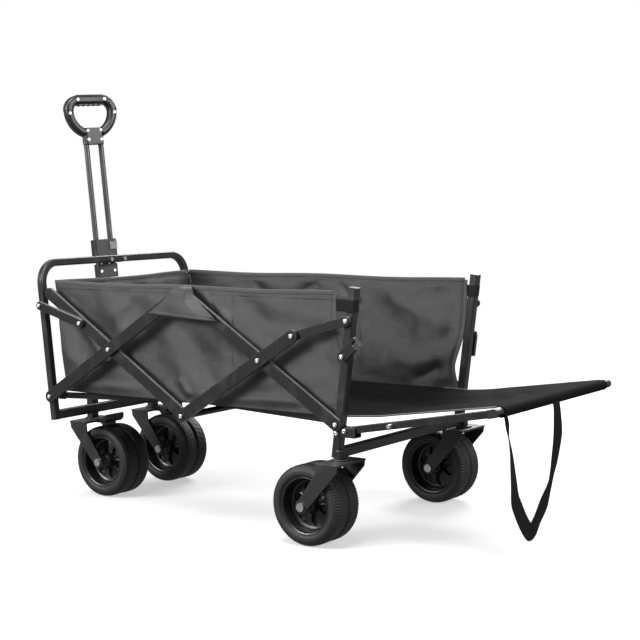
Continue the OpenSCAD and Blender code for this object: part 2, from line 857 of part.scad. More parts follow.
module fork_fn() { at_caster(0) fork(true); }
module fork_ff() { at_caster(1) fork(true); }
module fork_rn() { at_caster(2) fork(false); }
module fork_rf() { at_caster(3) fork(false); }
module axle_fn() { at_caster(0) axle(); }
module axle_ff() { at_caster(1) axle(); }
module axle_rn() { at_caster(2) axle(); }
module axle_rf() { at_caster(3) axle(); }
module tyre_fn() { at_caster(0) tyre(); }
module tyre_ff() { at_caster(1) tyre(); }
module tyre_rn() { at_caster(2) tyre(); }
module tyre_rf() { at_caster(3) tyre(); }
module rim_fn() { at_caster(0) rim(); }
module rim_ff() { at_caster(1) rim(); }
module rim_rn() { at_caster(2) rim(); }
module rim_rf() { at_caster(3) rim(); }
module pedal_near() { at_caster(0) pedal(); }
module pedal_far() { at_caster(1) pedal(); }

front_u_frame();
front_crossbar();
handle_clip();
front_rivets();
front_wall();
side_wall_near();
side_wall_far();
floor_panel();
fabric_flaps();
arms_a();
rivets_a();
arms_b();
lower_cross_tube();
arms_d();
rivets_d();
arms_c();
front_links();
rear_links();
rear_posts();
rear_crossbar();
tail_brackets();
rear_rivets();
post_loops();
latch_near();
latch_far();
tail_arms();
tail_tube();
tail_caps();
tail_panel();
tail_pins();
pull_strap();
base_bars_front();
base_hub();
base_bars_rear();
drawbar_tube();
handle_collar();
collar_button();
handle_rods();
slide_block();
grip_front();
grip_back();
handle_screws();
fork_fn();
fork_ff();
fork_rn();
fork_rf();
axle_fn();
axle_ff();
axle_rn();
axle_rf();
tyre_fn();
tyre_ff();
tyre_rn();
tyre_rf();
rim_fn();
rim_ff();
rim_rn();
rim_rf();
pedal_near();
pedal_far();
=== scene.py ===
"""Dresses the folding camp wagon: cloth tub, webbing, tyres, finishes, room and camera.

Lengths in the classes are in millimetres, as on a drawing, and become metres when a mesh
is made. +X runs from the handle end to the tailgate, +Y to the far side, +Z up.
"""

import logging
import math
from dataclasses import dataclass
from enum import Enum
from typing import Any, Optional, Sequence, Union

import bpy
import numpy as np
from mathutils import Matrix, Vector

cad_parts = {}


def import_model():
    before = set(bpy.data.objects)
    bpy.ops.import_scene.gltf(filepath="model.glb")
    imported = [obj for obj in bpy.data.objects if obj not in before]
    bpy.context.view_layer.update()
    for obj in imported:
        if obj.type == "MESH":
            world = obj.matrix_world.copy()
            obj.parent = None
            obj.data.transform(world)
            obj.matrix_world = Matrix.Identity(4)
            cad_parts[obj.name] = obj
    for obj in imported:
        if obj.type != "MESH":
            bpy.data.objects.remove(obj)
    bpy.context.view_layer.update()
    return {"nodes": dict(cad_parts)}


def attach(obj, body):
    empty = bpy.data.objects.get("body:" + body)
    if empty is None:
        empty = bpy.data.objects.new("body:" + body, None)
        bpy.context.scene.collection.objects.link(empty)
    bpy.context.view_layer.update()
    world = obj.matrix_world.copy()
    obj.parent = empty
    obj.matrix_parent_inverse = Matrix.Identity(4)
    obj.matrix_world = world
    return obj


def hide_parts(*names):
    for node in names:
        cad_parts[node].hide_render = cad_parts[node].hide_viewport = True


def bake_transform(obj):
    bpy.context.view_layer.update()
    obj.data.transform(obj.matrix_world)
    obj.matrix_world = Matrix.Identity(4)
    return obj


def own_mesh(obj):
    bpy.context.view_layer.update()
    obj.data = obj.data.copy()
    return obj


LOG = logging.getLogger("wagon")
MM = 0.001
Number = Union[int, float]
Link = Union["Sock", Number]


# ---------------------------------------------------------------- shader graph


class Sock:
    """One output socket that takes part in shader maths."""

    def __init__(self, graph: "Graph", socket: Any) -> None:
        """Keeps the graph that new Math nodes go into.

        Args:
            graph: The material's graph.
            socket: The output socket.
        """
        self.graph = graph
        self.socket = socket

    def _math(self, operation: str, *others: Link) -> "Sock":
        """Adds one Math node of this socket and the others."""
        return self.graph.node("ShaderNodeMath", {"operation": operation}, [self, *others])

    def __add__(self, other: Link) -> "Sock":
        """The sum."""
        return self._math("ADD", other)

    def __radd__(self, other: Link) -> "Sock":
        """The sum, from the right."""
        return self._math("ADD", other)

    def __sub__(self, other: Link) -> "Sock":
        """The difference."""
        return self._math("SUBTRACT", other)

    def __rsub__(self, other: Link) -> "Sock":
        """The difference, from the right."""
        return self.graph.node("ShaderNodeMath", {"operation": "SUBTRACT"}, [other, self])

    def __mul__(self, other: Link) -> "Sock":
        """The product."""
        return self._math("MULTIPLY", other)

    def __rmul__(self, other: Link) -> "Sock":
        """The product, from the right."""
        return self._math("MULTIPLY", other)

    def sine(self) -> "Sock":
        """The sine of the value, in radians."""
        return self._math("SINE")

    def over(self, low: Number, high: Number) -> "Sock":
        """The value stretched so that low is 0 and high is 1, and held there.

        Args:
            low: The value that becomes 0.
            high: The value that becomes 1.

        Returns:
            The stretched value.
        """
        settings = {"interpolation_type": "SMOOTHSTEP"}
        return self.graph.node("ShaderNodeMapRange", settings, [self, low, high, 0.0, 1.0])


class Graph:
    """A material and its nodes."""

    def __init__(self, name: str) -> None:
        """Makes an empty node material.

        Args:
            name: The material's name.
        """
        self.material = bpy.data.materials.new(name)
        self.material.use_nodes = True
        self.tree = self.material.node_tree
        self.tree.nodes.clear()

    def node(self, kind: str, settings: dict[str, Any], inputs: Any, out: Any = 0) -> Sock:
        """Adds one node.

        Args:
            kind: The node's type.
            settings: Properties that are set first, such as a Math node's operation.
            inputs: Values or links, as a list in socket order or a dict by socket name.
            out: The output that is handed back, by number or name.

        Returns:
            The chosen output.
        """
        made = self.tree.nodes.new(kind)
        for key, value in settings.items():
            setattr(made, key, value)
        pairs = inputs.items() if isinstance(inputs, dict) else enumerate(inputs)
        for key, value in pairs:
            if value is None:
                continue
            if isinstance(value, Sock):
                self.tree.links.new(value.socket, made.inputs[key])
            else:
                made.inputs[key].default_value = value
        return Sock(self, made.outputs[out])

    def place(self, scale: Sequence[Number] = (1, 1, 1), source: str = "Object") -> Sock:
        """A coordinate, scaled.

        Args:
            scale: How many pattern units there are to a metre on each axis.
            source: "Object" or "UV".

        Returns:
            The scaled coordinate.
        """
        where = self.node("ShaderNodeTexCoord", {}, {}, source)
        return self.node("ShaderNodeMapping", {}, {"Vector": where, "Scale": tuple(scale)})

    def noise(self, scale: Number, detail: Number = 3, source: str = "Object") -> Sock:
        """Soft noise with that many features to a metre."""
        inputs = {"Vector": self.place(source=source), "Scale": scale, "Detail": detail}
        return self.node("ShaderNodeTexNoise", {}, inputs, "Fac")

    def blend(self, share: Link, low: Sequence[Number], high: Sequence[Number]) -> Sock:
        """A colour between two colours.

        Args:
            share: 0 for the first colour, 1 for the second.
            low: The first colour.
            high: The second colour.

        Returns:
            The mixed colour.
        """
        made = self.tree.nodes.new("ShaderNodeMix")
        made.data_type = "RGBA"
        ends = {6: low, 7: high}
        for key, value in ends.items():
            if isinstance(value, Sock):
                self.tree.links.new(value.socket, made.inputs[key])
            else:
                made.inputs[key].default_value = (*value, 1)
        if isinstance(share, Sock):
            self.tree.links.new(share.socket, made.inputs[0])
        else:
            made.inputs[0].default_value = share
        return Sock(self, made.outputs[2])

    def rounded(self, radius: Number) -> Sock:
        """Normals that turn over each sharp edge as over a small round."""
        return self.node("ShaderNodeBevel", {"samples": 4}, {"Radius": radius}, "Normal")

    def edge_wear(self, soft: Sock) -> Sock:
        """1 along rounded edges, 0 on flat faces: how far the soft normal leans away."""
        true = self.node("ShaderNodeNewGeometry", {}, {}, "True Normal")
        along = self.node("ShaderNodeVectorMath", {"operation": "DOT_PRODUCT"}, [soft, true], "Value")
        return (1.0 - along).over(0.02, 0.25)

    def finish(
        self, shader: dict[str, Any], height: Optional[Sock], depth: Number,
        soft: Optional[Sock] = None,
    ) -> bpy.types.Material:
        """Closes the graph with a Principled shader.

        Args:
            shader: The shader's values and links, by socket name.
            height: A height pattern for the bump, if any.
            depth: The bump's depth in metres.
            soft: Rounded normals under the bump, if any.

        Returns:
            The material.
        """
        inputs = dict(shader)
        if height is not None:
            bump = {"Strength": 1.0, "Distance": depth, "Height": height, "Normal": soft}
            inputs["Normal"] = self.node("ShaderNodeBump", {}, bump, "Normal")
        body = self.node("ShaderNodeBsdfPrincipled", {}, inputs, "BSDF")
        self.node_output(body)
        return self.material

    def node_output(self, body: Sock) -> None:
        """Links a shader to the material's output."""
        end = self.tree.nodes.new("ShaderNodeOutputMaterial")
        self.tree.links.new(body.socket, end.inputs["Surface"])


def grey(value: Number, warm: Number = 0.0) -> tuple[float, float, float]:
    """A grey, a little warm where warm is above 0."""
    return (value * (1 + warm), value, value * (1 + 0.6 * warm))


# -------------------------------------------------------------------- finishes


@dataclass(frozen=True)
class PowderCoat:
    """Satin powder coat on steel: fine orange peel, soft scuffs, and a painted highlight that makes faces
    that look up paler.
    """

    name: str
    tone: float = 0.03
    rough: float = 0.36
    peel: float = 0.00005
    edge: float = 0.0016
    # The share of light grey painted on faces that look up: a painted highlight, as if from a top light.
    dust: float = 0.12

    def make(self) -> bpy.types.Material:
        """Builds the material."""
        g = Graph(self.name)
        peel = g.noise(900, 2)
        scuff = g.noise(26, 6).over(0.52, 0.72)
        streak = g.node(
            "ShaderNodeTexNoise", {},
            {"Vector": g.place((60, 60, 9)), "Scale": 1.0, "Detail": 4}, "Fac",
        ).over(0.55, 0.8)
        soft = g.rounded(self.edge)
        edges = g.edge_wear(soft)
        wear = scuff * 0.55 + streak * 0.45
        colour = g.blend(wear, grey(self.tone), grey(self.tone * 1.75 + 0.006))
        # Painted highlight: where the normal points up, the colour is blended towards light grey, as if lit
        # from above.
        facing = g.node("ShaderNodeNewGeometry", {}, {}, "Normal")
        highlight_facing_up = g.node("ShaderNodeSeparateXYZ", {}, [facing], "Z")
        dust = highlight_facing_up.over(0.6, 0.95) * self.dust
        colour = g.blend(edges, colour, grey(self.tone * 2 + 0.05))
        colour = g.blend(dust, colour, grey(0.3))
        return g.finish(
            {"Base Color": colour, "Roughness": self.rough + wear * 0.16,
             "Specular IOR Level": 0.5, "Coat Weight": 0.12, "Coat Roughness": 0.3},
            peel + scuff * 0.25, self.peel, soft,
        )


@dataclass(frozen=True)
class BrightSteel:
    """Zinc-plated steel with fine turned marks and a few dull spots."""

    name: str
    tone: float = 0.62

    def make(self) -> bpy.types.Material:
        """Builds the material."""
        g = Graph(self.name)
        turned = g.node(
            "ShaderNodeTexNoise", {},
            {"Vector": g.place((220, 2600, 220)), "Scale": 1.0, "Detail": 2}, "Fac",
        )
        dull = g.noise(160, 4).over(0.48, 0.66)
        return g.finish(
            {"Base Color": g.blend(dull, grey(self.tone), grey(self.tone * 0.72, 0.03)),
             "Metallic": 1.0, "Roughness": 0.24 + dull * 0.16 + turned * 0.08},
            turned, 0.00003,
        )


@dataclass(frozen=True)
class WovenCloth:
    """Coated polyester: a plain weave that follows the cloth, with creased sheen.

    The threads cross as two sine waves over the piece's own map, which is in metres.
    """

    name: str
    tone: float = 0.045
    thread: float = 0.9
    rough: float = 0.52
    mottled: float = 0.35
    gloss: float = 0.5
    sheen: float = 0.12

    def make(self) -> bpy.types.Material:
        """Builds the material."""
        g = Graph(self.name)
        where = g.node("ShaderNodeTexCoord", {}, {}, "UV")
        split = g.node("ShaderNodeSeparateXYZ", {}, [where], "X")
        across = Sock(g, split.socket.node.outputs["Y"])
        turn = 2 * math.pi / (self.thread * MM)
        warp, weft = (split * turn).sine(), (across * turn).sine()
        weave = warp * weft
        cloud = g.noise(7, 5).over(0.36, 0.7)
        lint = g.noise(420, 3).over(0.5, 0.8)
        rub = cloud * 0.7 + lint * 0.3
        low, high = grey(self.tone, 0.03), grey(self.tone * (1 + self.mottled), 0.05)
        colour = g.blend(rub + weave * 0.12, low, high)
        wrinkle = g.noise(38, 5)
        return g.finish(
            {"Base Color": colour, "Roughness": self.rough + rub * 0.1 + weave * 0.03,
             "Specular IOR Level": self.gloss, "Sheen Weight": self.sheen, "Sheen Roughness": 0.45},
            weave * 0.06 + wrinkle, 0.0012,
        )


@dataclass(frozen=True)
class RibbedWebbing:
    """Woven webbing: ribs across the band and a herringbone along it."""

    name: str
    tone: float = 0.012
    rib: float = 1.8

    def make(self) -> bpy.types.Material:
        """Builds the material."""
        g = Graph(self.name)
        where = g.node("ShaderNodeTexCoord", {}, {}, "UV")
        along = g.node("ShaderNodeSeparateXYZ", {}, [where], "X")
        across = Sock(g, along.socket.node.outputs["Y"])
        turn = 2 * math.pi / (self.rib * MM)
        ribs = (along * turn + (across * turn * 0.5).sine() * 1.4).sine()
        fuzz = g.noise(700, 3)
        share = ribs * 0.35 + fuzz * 0.6
        return g.finish(
            {"Base Color": g.blend(share, grey(self.tone), grey(self.tone * 2.6)),
             "Roughness": 0.72 + fuzz * 0.14, "Specular IOR Level": 0.15},
            ribs + fuzz * 0.4, 0.00022,
        )


@dataclass(frozen=True)
class MouldedPlastic:
    """Moulded plastic with a fine spark-eroded grain and rubbed high spots."""

    name: str
    tone: float = 0.018
    rough: float = 0.42
    grain: float = 0.00006
    edge: float = 0.001

    def make(self) -> bpy.types.Material:
        """Builds the material."""
        g = Graph(self.name)
        grain = g.noise(1300, 2)
        rub = g.noise(34, 5).over(0.5, 0.75)
        soft = g.rounded(self.edge)
        colour = g.blend(rub, grey(self.tone), grey(self.tone * 1.9 + 0.004))
        colour = g.blend(g.edge_wear(soft), colour, grey(self.tone * 2 + 0.02))
        return g.finish(
            {"Base Color": colour, "Roughness": self.rough + rub * 0.14 + grain * 0.05},
            grain, self.grain, soft,
        )


@dataclass(frozen=True)
class TreadRubber:
    """Matt tyre rubber with a little dust in soft patches."""

    name: str
    tone: float = 0.008

    def make(self) -> bpy.types.Material:
        """Builds the material."""
        g = Graph(self.name)
        pores = g.noise(950, 3)
        dust = g.noise(19, 6).over(0.45, 0.78)
        return g.finish(
            {"Base Color": g.blend(dust, grey(self.tone), grey(self.tone * 2.3, 0.06)),
             "Roughness": 0.56 + dust * 0.2 + pores * 0.06},
            pores, 0.00012,
        )


@dataclass(frozen=True)
class PaleFloor:
    """A pale floor that turns into an evenly lit white backdrop away from the middle."""

    name: str
    tone: float = 0.8
    glow: float = 0.5
    near: float = 1.3
    far: float = 3.4

    def make(self) -> bpy.types.Material:
        """Builds the material: paint and glow in equal shares near the middle, all glow beyond."""
        g = Graph(self.name)
        cloud = g.noise(1.3, 3)
        low, high = grey(self.tone), grey(self.tone + 0.02)
        where = g.node("ShaderNodeTexCoord", {}, {}, "Object")
        reach = g.node("ShaderNodeVectorMath", {"operation": "LENGTH"}, [where], "Value")
        away = self.glow + reach.over(self.near, self.far) * (1 - self.glow)
        paint = g.node(
            "ShaderNodeBsdfPrincipled", {},
            {"Base Color": g.blend(cloud, low, high), "Roughness": 0.8 + cloud * 0.1}, "BSDF",
        )
        glow = g.node("ShaderNodeEmission", {}, {"Color": (1, 1, 1, 1), "Strength": 1.0}, "Emission")
        g.node_output(g.node("ShaderNodeMixShader", {}, {0: away, 1: paint, 2: glow}, "Shader"))
        return g.material


class Finish(Enum):
    """The wagon's finishes, each made once."""

    FRAME = PowderCoat("frame_coat", tone=0.011, rough=0.32)
    # The arms' strong upward share paints a bright highlight along their top faces.
    ARM = PowderCoat("arm_coat", tone=0.009, rough=0.27, dust=0.5)
    FORK = PowderCoat("fork_coat", tone=0.011, rough=0.4)
    ROD = PowderCoat("rod_coat", tone=0.05, rough=0.2, edge=0.0004, dust=0.0)
    STEEL = BrightSteel("zinc_plate")
    WALL = WovenCloth("wall_cloth", tone=0.019, rough=0.33, mottled=0.35, gloss=0.5, sheen=0.03)
    FLOOR = WovenCloth("floor_cloth", tone=0.006, rough=0.75, mottled=0.45, gloss=0.02, sheen=0.0)
    BINDING = WovenCloth("binding_tape", tone=0.045, thread=0.6, rough=0.6, mottled=0.3)
    WEBBING = RibbedWebbing("pull_webbing", tone=0.003)
    LOOP = RibbedWebbing("loop_webbing", tone=0.009)
    PLASTIC = MouldedPlastic("moulded_black", tone=0.008)
    GRIP = MouldedPlastic("grip_plastic", tone=0.008, rough=0.36)
    RIM = MouldedPlastic("rim_plastic", tone=0.011, rough=0.26)
    BUTTON = MouldedPlastic("button_grey", tone=0.11, rough=0.4)
    TYRE = TreadRubber("tyre_rubber")
    GROUND = PaleFloor("pale_floor")

    def material(self) -> bpy.types.Material:
        """The finish's material, made on first use."""
        found = bpy.data.materials.get(self.value.name)
        return found or self.value.make()


# ------------------------------------------------------------------ mesh tools


def smooth(t: np.ndarray) -> np.ndarray:
    """0 below 0, 1 above 1, and 3t^2 - 2t^3 between."""
    t = np.clip(t, 0.0, 1.0)
    return t * t * (3 - 2 * t)


def grid_piece(
    name: str,
    points: np.ndarray,
    finish: Finish,
    lay: Optional[np.ndarray] = None,
    round_u: bool = False,
    round_v: bool = False,
    flip: bool = False,
    caps: bool = False,
) -> bpy.types.Object:
    """Makes a mesh from a grid of points.

    Args:
        name: The piece's name.
        points: Points in millimetres, shaped (nu, nv, 3).
        finish: The piece's finish.
        lay: The flat place of each point in millimetres, shaped (nu, nv, 2). Left out, it is
            the length travelled along each direction of the grid.
        round_u: Whether the last row joins the first.
        round_v: Whether the last column joins the first.
        flip: Whether the faces are turned over.
        caps: Whether the two ends in u are closed with a face each.

    Returns:
        The new object, at the origin.
    """
    nu, nv = points.shape[:2]
    iu = np.arange(nu if round_u else nu - 1)
    iv = np.arange(nv if round_v else nv - 1)
    a, b = np.meshgrid(iu, iv, indexing="ij")
    a2, b2 = (a + 1) % nu, (b + 1) % nv
    quads = np.stack([a * nv + b, a2 * nv + b, a2 * nv + b2, a * nv + b2], -1).reshape(-1, 4)
    if flip:
        quads = quads[:, ::-1]
    faces = quads.tolist()
    if caps:
        first, last = list(range(nv)), [(nu - 1) * nv + k for k in range(nv)]
        faces += [first[::-1], last] if flip else [first, last[::-1]]
    if lay is None:
        du = np.linalg.norm(np.diff(points, axis=0, prepend=points[:1]), axis=2)
        dv = np.linalg.norm(np.diff(points, axis=1, prepend=points[:, :1]), axis=2)
        lay = np.stack([np.cumsum(du, 0), np.cumsum(dv, 1)], -1)
    mesh = bpy.data.meshes.new(name)
    mesh.from_pydata((points.reshape(-1, 3) * MM).tolist(), [], faces)
    mesh.update()
    corners = np.zeros(len(mesh.loops), np.int64)
    mesh.loops.foreach_get("vertex_index", corners)
    chart = mesh.uv_layers.new(name="UVMap")
    chart.data.foreach_set("uv", (lay.reshape(-1, 2)[corners] * MM).astype(np.float32).ravel())
    mesh.polygons.foreach_set("use_smooth", np.ones(len(mesh.polygons), bool))
    mesh.materials.append(finish.material())
    made = bpy.data.objects.new(name, mesh)
    bpy.context.scene.collection.objects.link(made)
    return made


def thicken(piece: bpy.types.Object, thickness: float) -> None:
    """Gives a sheet its thickness, half on each side.

    Args:
        piece: The sheet.
        thickness: The thickness in millimetres.
    """
    wall = piece.modifiers.new("thickness", "SOLIDIFY")
    wall.thickness = thickness * MM
    wall.offset = 0.0
    wall.use_even_offset = False


def polyline(knots: Sequence[Sequence[float]], count: int) -> np.ndarray:
    """A smooth line through knots, as points evenly spaced by length.

    Each span between knots is a Catmull-Rom curve: the cubic whose slope at a knot is half
    the step from the knot before to the knot after.

    Args:
        knots: The knots, two or three numbers each.
        count: How many points to make.

    Returns:
        The points, shaped (count, 2) or (count, 3).
    """
    p = np.asarray(knots, float)
    ends = np.vstack([2 * p[0] - p[1], p, 2 * p[-1] - p[-2]])
    t = np.linspace(0, 1, 24, endpoint=False)[:, None]
    a, b, c, d = (ends[k : k + len(p) - 1][:, None] for k in range(4))
    curve = 0.5 * (
        2 * b + (c - a) * t + (2 * a - 5 * b + 4 * c - d) * t**2 + (3 * b - a - 3 * c + d) * t**3
    )
    line = np.vstack([curve.reshape(-1, p.shape[1]), p[-1:]])
    run = np.concatenate([[0], np.cumsum(np.linalg.norm(np.diff(line, axis=0), axis=1))])
    s = np.linspace(0, run[-1], count)
    return np.stack([np.interp(s, run, line[:, k]) for k in range(p.shape[1])], -1)


def swept(
    name: str,
    path: np.ndarray,
    across: np.ndarray,
    wide: float,
    thick: float,
    finish: Finish,
    ring: int = 16,
    closed: bool = False,
) -> bpy.types.Object:
    """A band with rounded edges carried along a path.

    The band's section is a superellipse, |x / half width|^4 + |y / half thickness|^4 = 1.

    Args:
        name: The piece's name.
        path: The centreline in millimetres, shaped (n, 3).
        across: The direction of the band's width at each point, shaped (n, 3).
        wide: The width in millimetres.
        thick: The thickness in millimetres.
        finish: The piece's finish.
        ring: How many points the section has.
        closed: Whether the path is a loop.

    Returns:
        The new piece.
    """
    ahead = np.roll(path, -1, 0) - np.roll(path, 1, 0)
    if not closed:
        ahead[0], ahead[-1] = path[1] - path[0], path[-1] - path[-2]
    ahead /= np.linalg.norm(ahead, axis=1, keepdims=True)
    side = across - ahead * np.sum(across * ahead, axis=1, keepdims=True)
    side /= np.linalg.norm(side, axis=1, keepdims=True)
    up = np.cross(ahead, side)
    turn = np.linspace(0, 2 * np.pi, ring, endpoint=False)
    c, s = np.cos(turn), np.sin(turn)
    x = np.sign(c) * np.abs(c) ** 0.5 * wide / 2
    y = np.sign(s) * np.abs(s) ** 0.5 * thick / 2
    points = path[:, None] + side[:, None] * x[None, :, None] + up[:, None] * y[None, :, None]
    run = np.concatenate([[0], np.cumsum(np.linalg.norm(np.diff(path, axis=0), axis=1))])
    lay = np.stack(np.broadcast_arrays(run[:, None], (x + y)[None, :]), -1)
    return grid_piece(name, points, finish, lay, closed, True, flip=True, caps=not closed)


@dataclass(frozen=True)
class Crease:
    """One soft fold in a cloth.

    Its height falls off as exp(-(d / width)^2), where d is the distance from the line
    between the two ends, and fades to nothing at both ends.
    """

    start: tuple[float, float]
    end: tuple[float, float]
    width: float
    height: float

    def lift(self, x: np.ndarray, z: np.ndarray) -> np.ndarray:
        """How far the fold lifts the cloth at each place.

        Args:
            x: Places along the first direction, in millimetres.
            z: Places along the second direction, in millimetres.

        Returns:
            The lift in millimetres.
        """
        dx, dz = self.end[0] - self.start[0], self.end[1] - self.start[1]
        long = math.hypot(dx, dz)
        along = ((x - self.start[0]) * dx + (z - self.start[1]) * dz) / long**2
        off = ((x - self.start[0]) * dz - (z - self.start[1]) * dx) / long
        fade = smooth(along / 0.3 + 0.25) * smooth((1 - along) / 0.3 + 0.25)
        return self.height * np.exp(-((off / self.width) ** 2)) * fade


def ripple(x: np.ndarray, z: np.ndarray, seed: int, size: float, height: float) -> np.ndarray:
    """Gentle unevenness: the sum of eight sine waves in seeded directions.

    Args:
        x: Places along the first direction, in millimetres.
        z: Places along the second direction, in millimetres.
        seed: The seed of the directions.
        size: The typical wavelength in millimetres.
        height: The typical height in millimetres.

    Returns:
        The height in millimetres.
    """
    draw = np.random.default_rng(seed)
    angle, phase = draw.uniform(0, 2 * np.pi, (2, 8))
    length = size * draw.uniform(0.6, 1.7, 8)
    waves = np.sin(
        (x[..., None] * np.cos(angle) + z[..., None] * np.sin(angle)) * 2 * np.pi / length + phase
    )
    return height * waves.mean(-1) * 1.6


# --------------------------------------------------------------- the whole frame


@dataclass(frozen=True)
class Layout:
    """The frame's own sizes in millimetres, as the metal parts have them."""

    front_x: float = -491.44
    rear_x: float = 268.44
    middle_x: float = -111.5
    pivot_z: float = 239.0
    wall_top: float = 489.0
    floor_z: float = 250.0
    wall_y: float = 224.5
    post_y: float = 230.0
    rear_lean: float = 7.6
    front_low: float = -469.44
    front_high: float = -494.66
    tail_x: float = 284.44
    tail_z: float = 227.0
    tail_slope: float = 10.4
    tail_length: float = 326.0
    folded_share: float = 0.3257

    def on_tail(self, s: np.ndarray, rise: np.ndarray) -> tuple[np.ndarray, np.ndarray]:
        """Turns a place along and above the tailgate's arms into X and Z.

        Args:
            s: Distance from the tailgate's hinge along its arms.
            rise: Height above the arms' centreline, square to them.

        Returns:
            X and Z in millimetres.
        """
        a = math.radians(self.tail_slope)
        return (
            self.tail_x + s * math.cos(a) - rise * math.sin(a),
            self.tail_z + s * math.sin(a) + rise * math.cos(a),
        )

    def post_x(self, z: np.ndarray) -> np.ndarray:
        """The rear post's centre at a height."""
        return self.rear_x + (z - self.pivot_z) * math.tan(math.radians(self.rear_lean))

    def fold_away(self, piece: bpy.types.Object) -> None:
        """Lets a cloth piece ride the front frame, with a mesh of its own."""
        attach(piece, "front_frame")
        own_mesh(piece)


@dataclass
class SideWall:
    """One long cloth wall with a turned hem, a seam and a bound top edge."""

    layout: Layout
    side: int
    rear_edge: Sequence[tuple[float, float]]
    creases: Sequence[Crease]
    seed: int
    columns: int = 200
    rows: int = 84
    sag: float = 3.0
    hem: float = 15.0
    seam_x: float = 6.5
    seam_reach: float = 255.0
    cloth: float = 1.4

    @property
    def label(self) -> str:
        """The side's name."""
        return "near" if self.side < 0 else "far"

    def outline(self, u: np.ndarray, v: np.ndarray) -> tuple[np.ndarray, np.ndarray]:
        """X and Z over the wall.

        X runs straight from the leaning front edge to the curved rear edge. Z runs from the
        floor to the top, which dips twice along its length as a squared sine.

        Args:
            u: 0 at the front edge, 1 at the rear.
            v: 0 at the floor, 1 at the top.

        Returns:
            X and Z in millimetres.
        """
        lay = self.layout
        dip = self.sag * np.sin(np.pi * np.clip(u * 2 % 1.0, 0, 1)) ** 2
        z = lay.floor_z + v * (lay.wall_top - dip - lay.floor_z)
        front = lay.front_low + (lay.front_high - lay.front_low) * v
        edge = polyline(self.rear_edge, 80)
        rear = np.interp(z, edge[:, 1], edge[:, 0])
        return front + (rear - front) * u, z

    def bulge(self, x: np.ndarray, z: np.ndarray) -> np.ndarray:
        """How far the cloth stands out from its plane, in millimetres."""
        lay = self.layout
        v = np.clip((z - lay.floor_z) / (lay.wall_top - lay.floor_z), 0, 1)
        lift = ripple(x, z, self.seed, 150, 3.4) + ripple(x, z, self.seed + 1, 60, 0.9)
        for crease in self.creases:
            lift = lift + crease.lift(x, z)
        calm = 0.25 + 0.75 * smooth((1 - v) / 0.12) * smooth(v / 0.1)
        return lift * calm

    def surface(self, u: np.ndarray, v: np.ndarray) -> tuple[np.ndarray, np.ndarray]:
        """The wall's points and their flat places, over grids of u and v."""
        x, z = self.outline(u, v)
        out = self.layout.wall_y + self.bulge(x, z)
        top = self.layout.wall_top - z
        turned = 0.35 * smooth((self.hem - top) / 2.4)
        stitch = 0.7 * np.exp(-(((x - self.seam_x) / 2.2) ** 2)) * smooth((z - 262) / 6)
        edge = 1.2 * smooth((u - 0.985) / 0.004)
        y = self.side * (out + turned + stitch + edge)
        return np.stack([x, y, z], -1), np.stack([x, z], -1)

    def build(self) -> None:
        """Makes the wall, its bound top edge and its rear binding."""
        lay = self.layout
        top_rows = np.linspace(0.93, 1, 22)
        v = np.unique(np.concatenate([np.linspace(0, 0.93, self.rows), top_rows]))
        seam = (self.seam_x - lay.front_low) / (self.seam_reach - lay.front_low)
        fine = seam + np.linspace(-0.012, 0.012, 18)
        u = np.unique(np.concatenate([np.linspace(0, 1, self.columns), fine]))
        grid_u, grid_v = np.meshgrid(u, v, indexing="ij")
        points, flat = self.surface(grid_u, grid_v)
        wall = grid_piece(f"side_wall_cloth_{self.label}", points, Finish.WALL, flat, flip=self.side > 0)
        thicken(wall, self.cloth)
        lay.fold_away(wall)
        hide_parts(f"side_wall_{self.label}")
        self.bind("top_binding", points[:, -1] + [0, 0, 0.2], (0, 0, 1), 9.0)
        rear = points[-1] + [-1.0, 0, 0]
        self.bind("rear_binding", rear, (1, 0, 0), 7.0)

    def bind(self, word: str, line: np.ndarray, across: Sequence[float], wide: float) -> None:
        """Folds a binding tape over one edge of the wall.

        Args:
            word: What the tape is called.
            line: The edge's points.
            across: The direction of the tape's width.
            wide: The tape's width in millimetres.
        """
        path = polyline(line[::4], 160)
        tape = swept(
            f"{word}_{self.label}", path, np.tile(np.array(across, float), (len(path), 1)),
            wide, 3.0, Finish.BINDING, 12,
        )
        self.layout.fold_away(tape)


@dataclass
class FrontWall:
    """The cloth wall behind the handle."""

    layout: Layout
    columns: int = 120
    rows: int = 64
    dip: float = 4.0
    hem: float = 15.0
    cloth: float = 1.4

    def build(self) -> None:
        """Makes the wall and its bound top edge.

        The wall leans with the front legs, and its top edge dips as a squared cosine.
        """
        lay = self.layout
        u, v = np.meshgrid(np.linspace(-1, 1, self.columns), np.linspace(0, 1, self.rows), indexing="ij")
        y = u * (lay.wall_y - 0.5)
        z = lay.floor_z + v * (lay.wall_top - lay.floor_z - self.dip * np.cos(u * np.pi / 2) ** 2)
        x = lay.front_low + (lay.front_high - lay.front_low) * v
        pull = ripple(y, z, 21, 130, 2.4) + ripple(y, z, 22, 44, 0.5)
        for crease in (
            Crease((-200, 480), (-60, 300), 16, 4.0),
            Crease((200, 480), (70, 310), 18, 3.6),
            Crease((-120, 260), (110, 300), 20, -2.6),
        ):
            pull = pull + crease.lift(y, z)
        x = x + 1.5 + pull * (1 - np.abs(u) ** 6) * 0.8
        hem = 0.9 * smooth((self.hem - (lay.wall_top - z)) / 1.6)
        points = np.stack([x - hem, y, z], -1)
        wall = grid_piece("front_wall_cloth", points, Finish.WALL, np.stack([y, z], -1), flip=True)
        thicken(wall, self.cloth)
        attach(wall, "front_frame")
        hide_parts("front_wall")
        path = polyline(points[::4, -1], 120)
        tape = swept("top_binding_front", path, np.tile([0.0, 0, 1], (120, 1)), 9, 3, Finish.BINDING, 12)
        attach(tape, "front_frame")


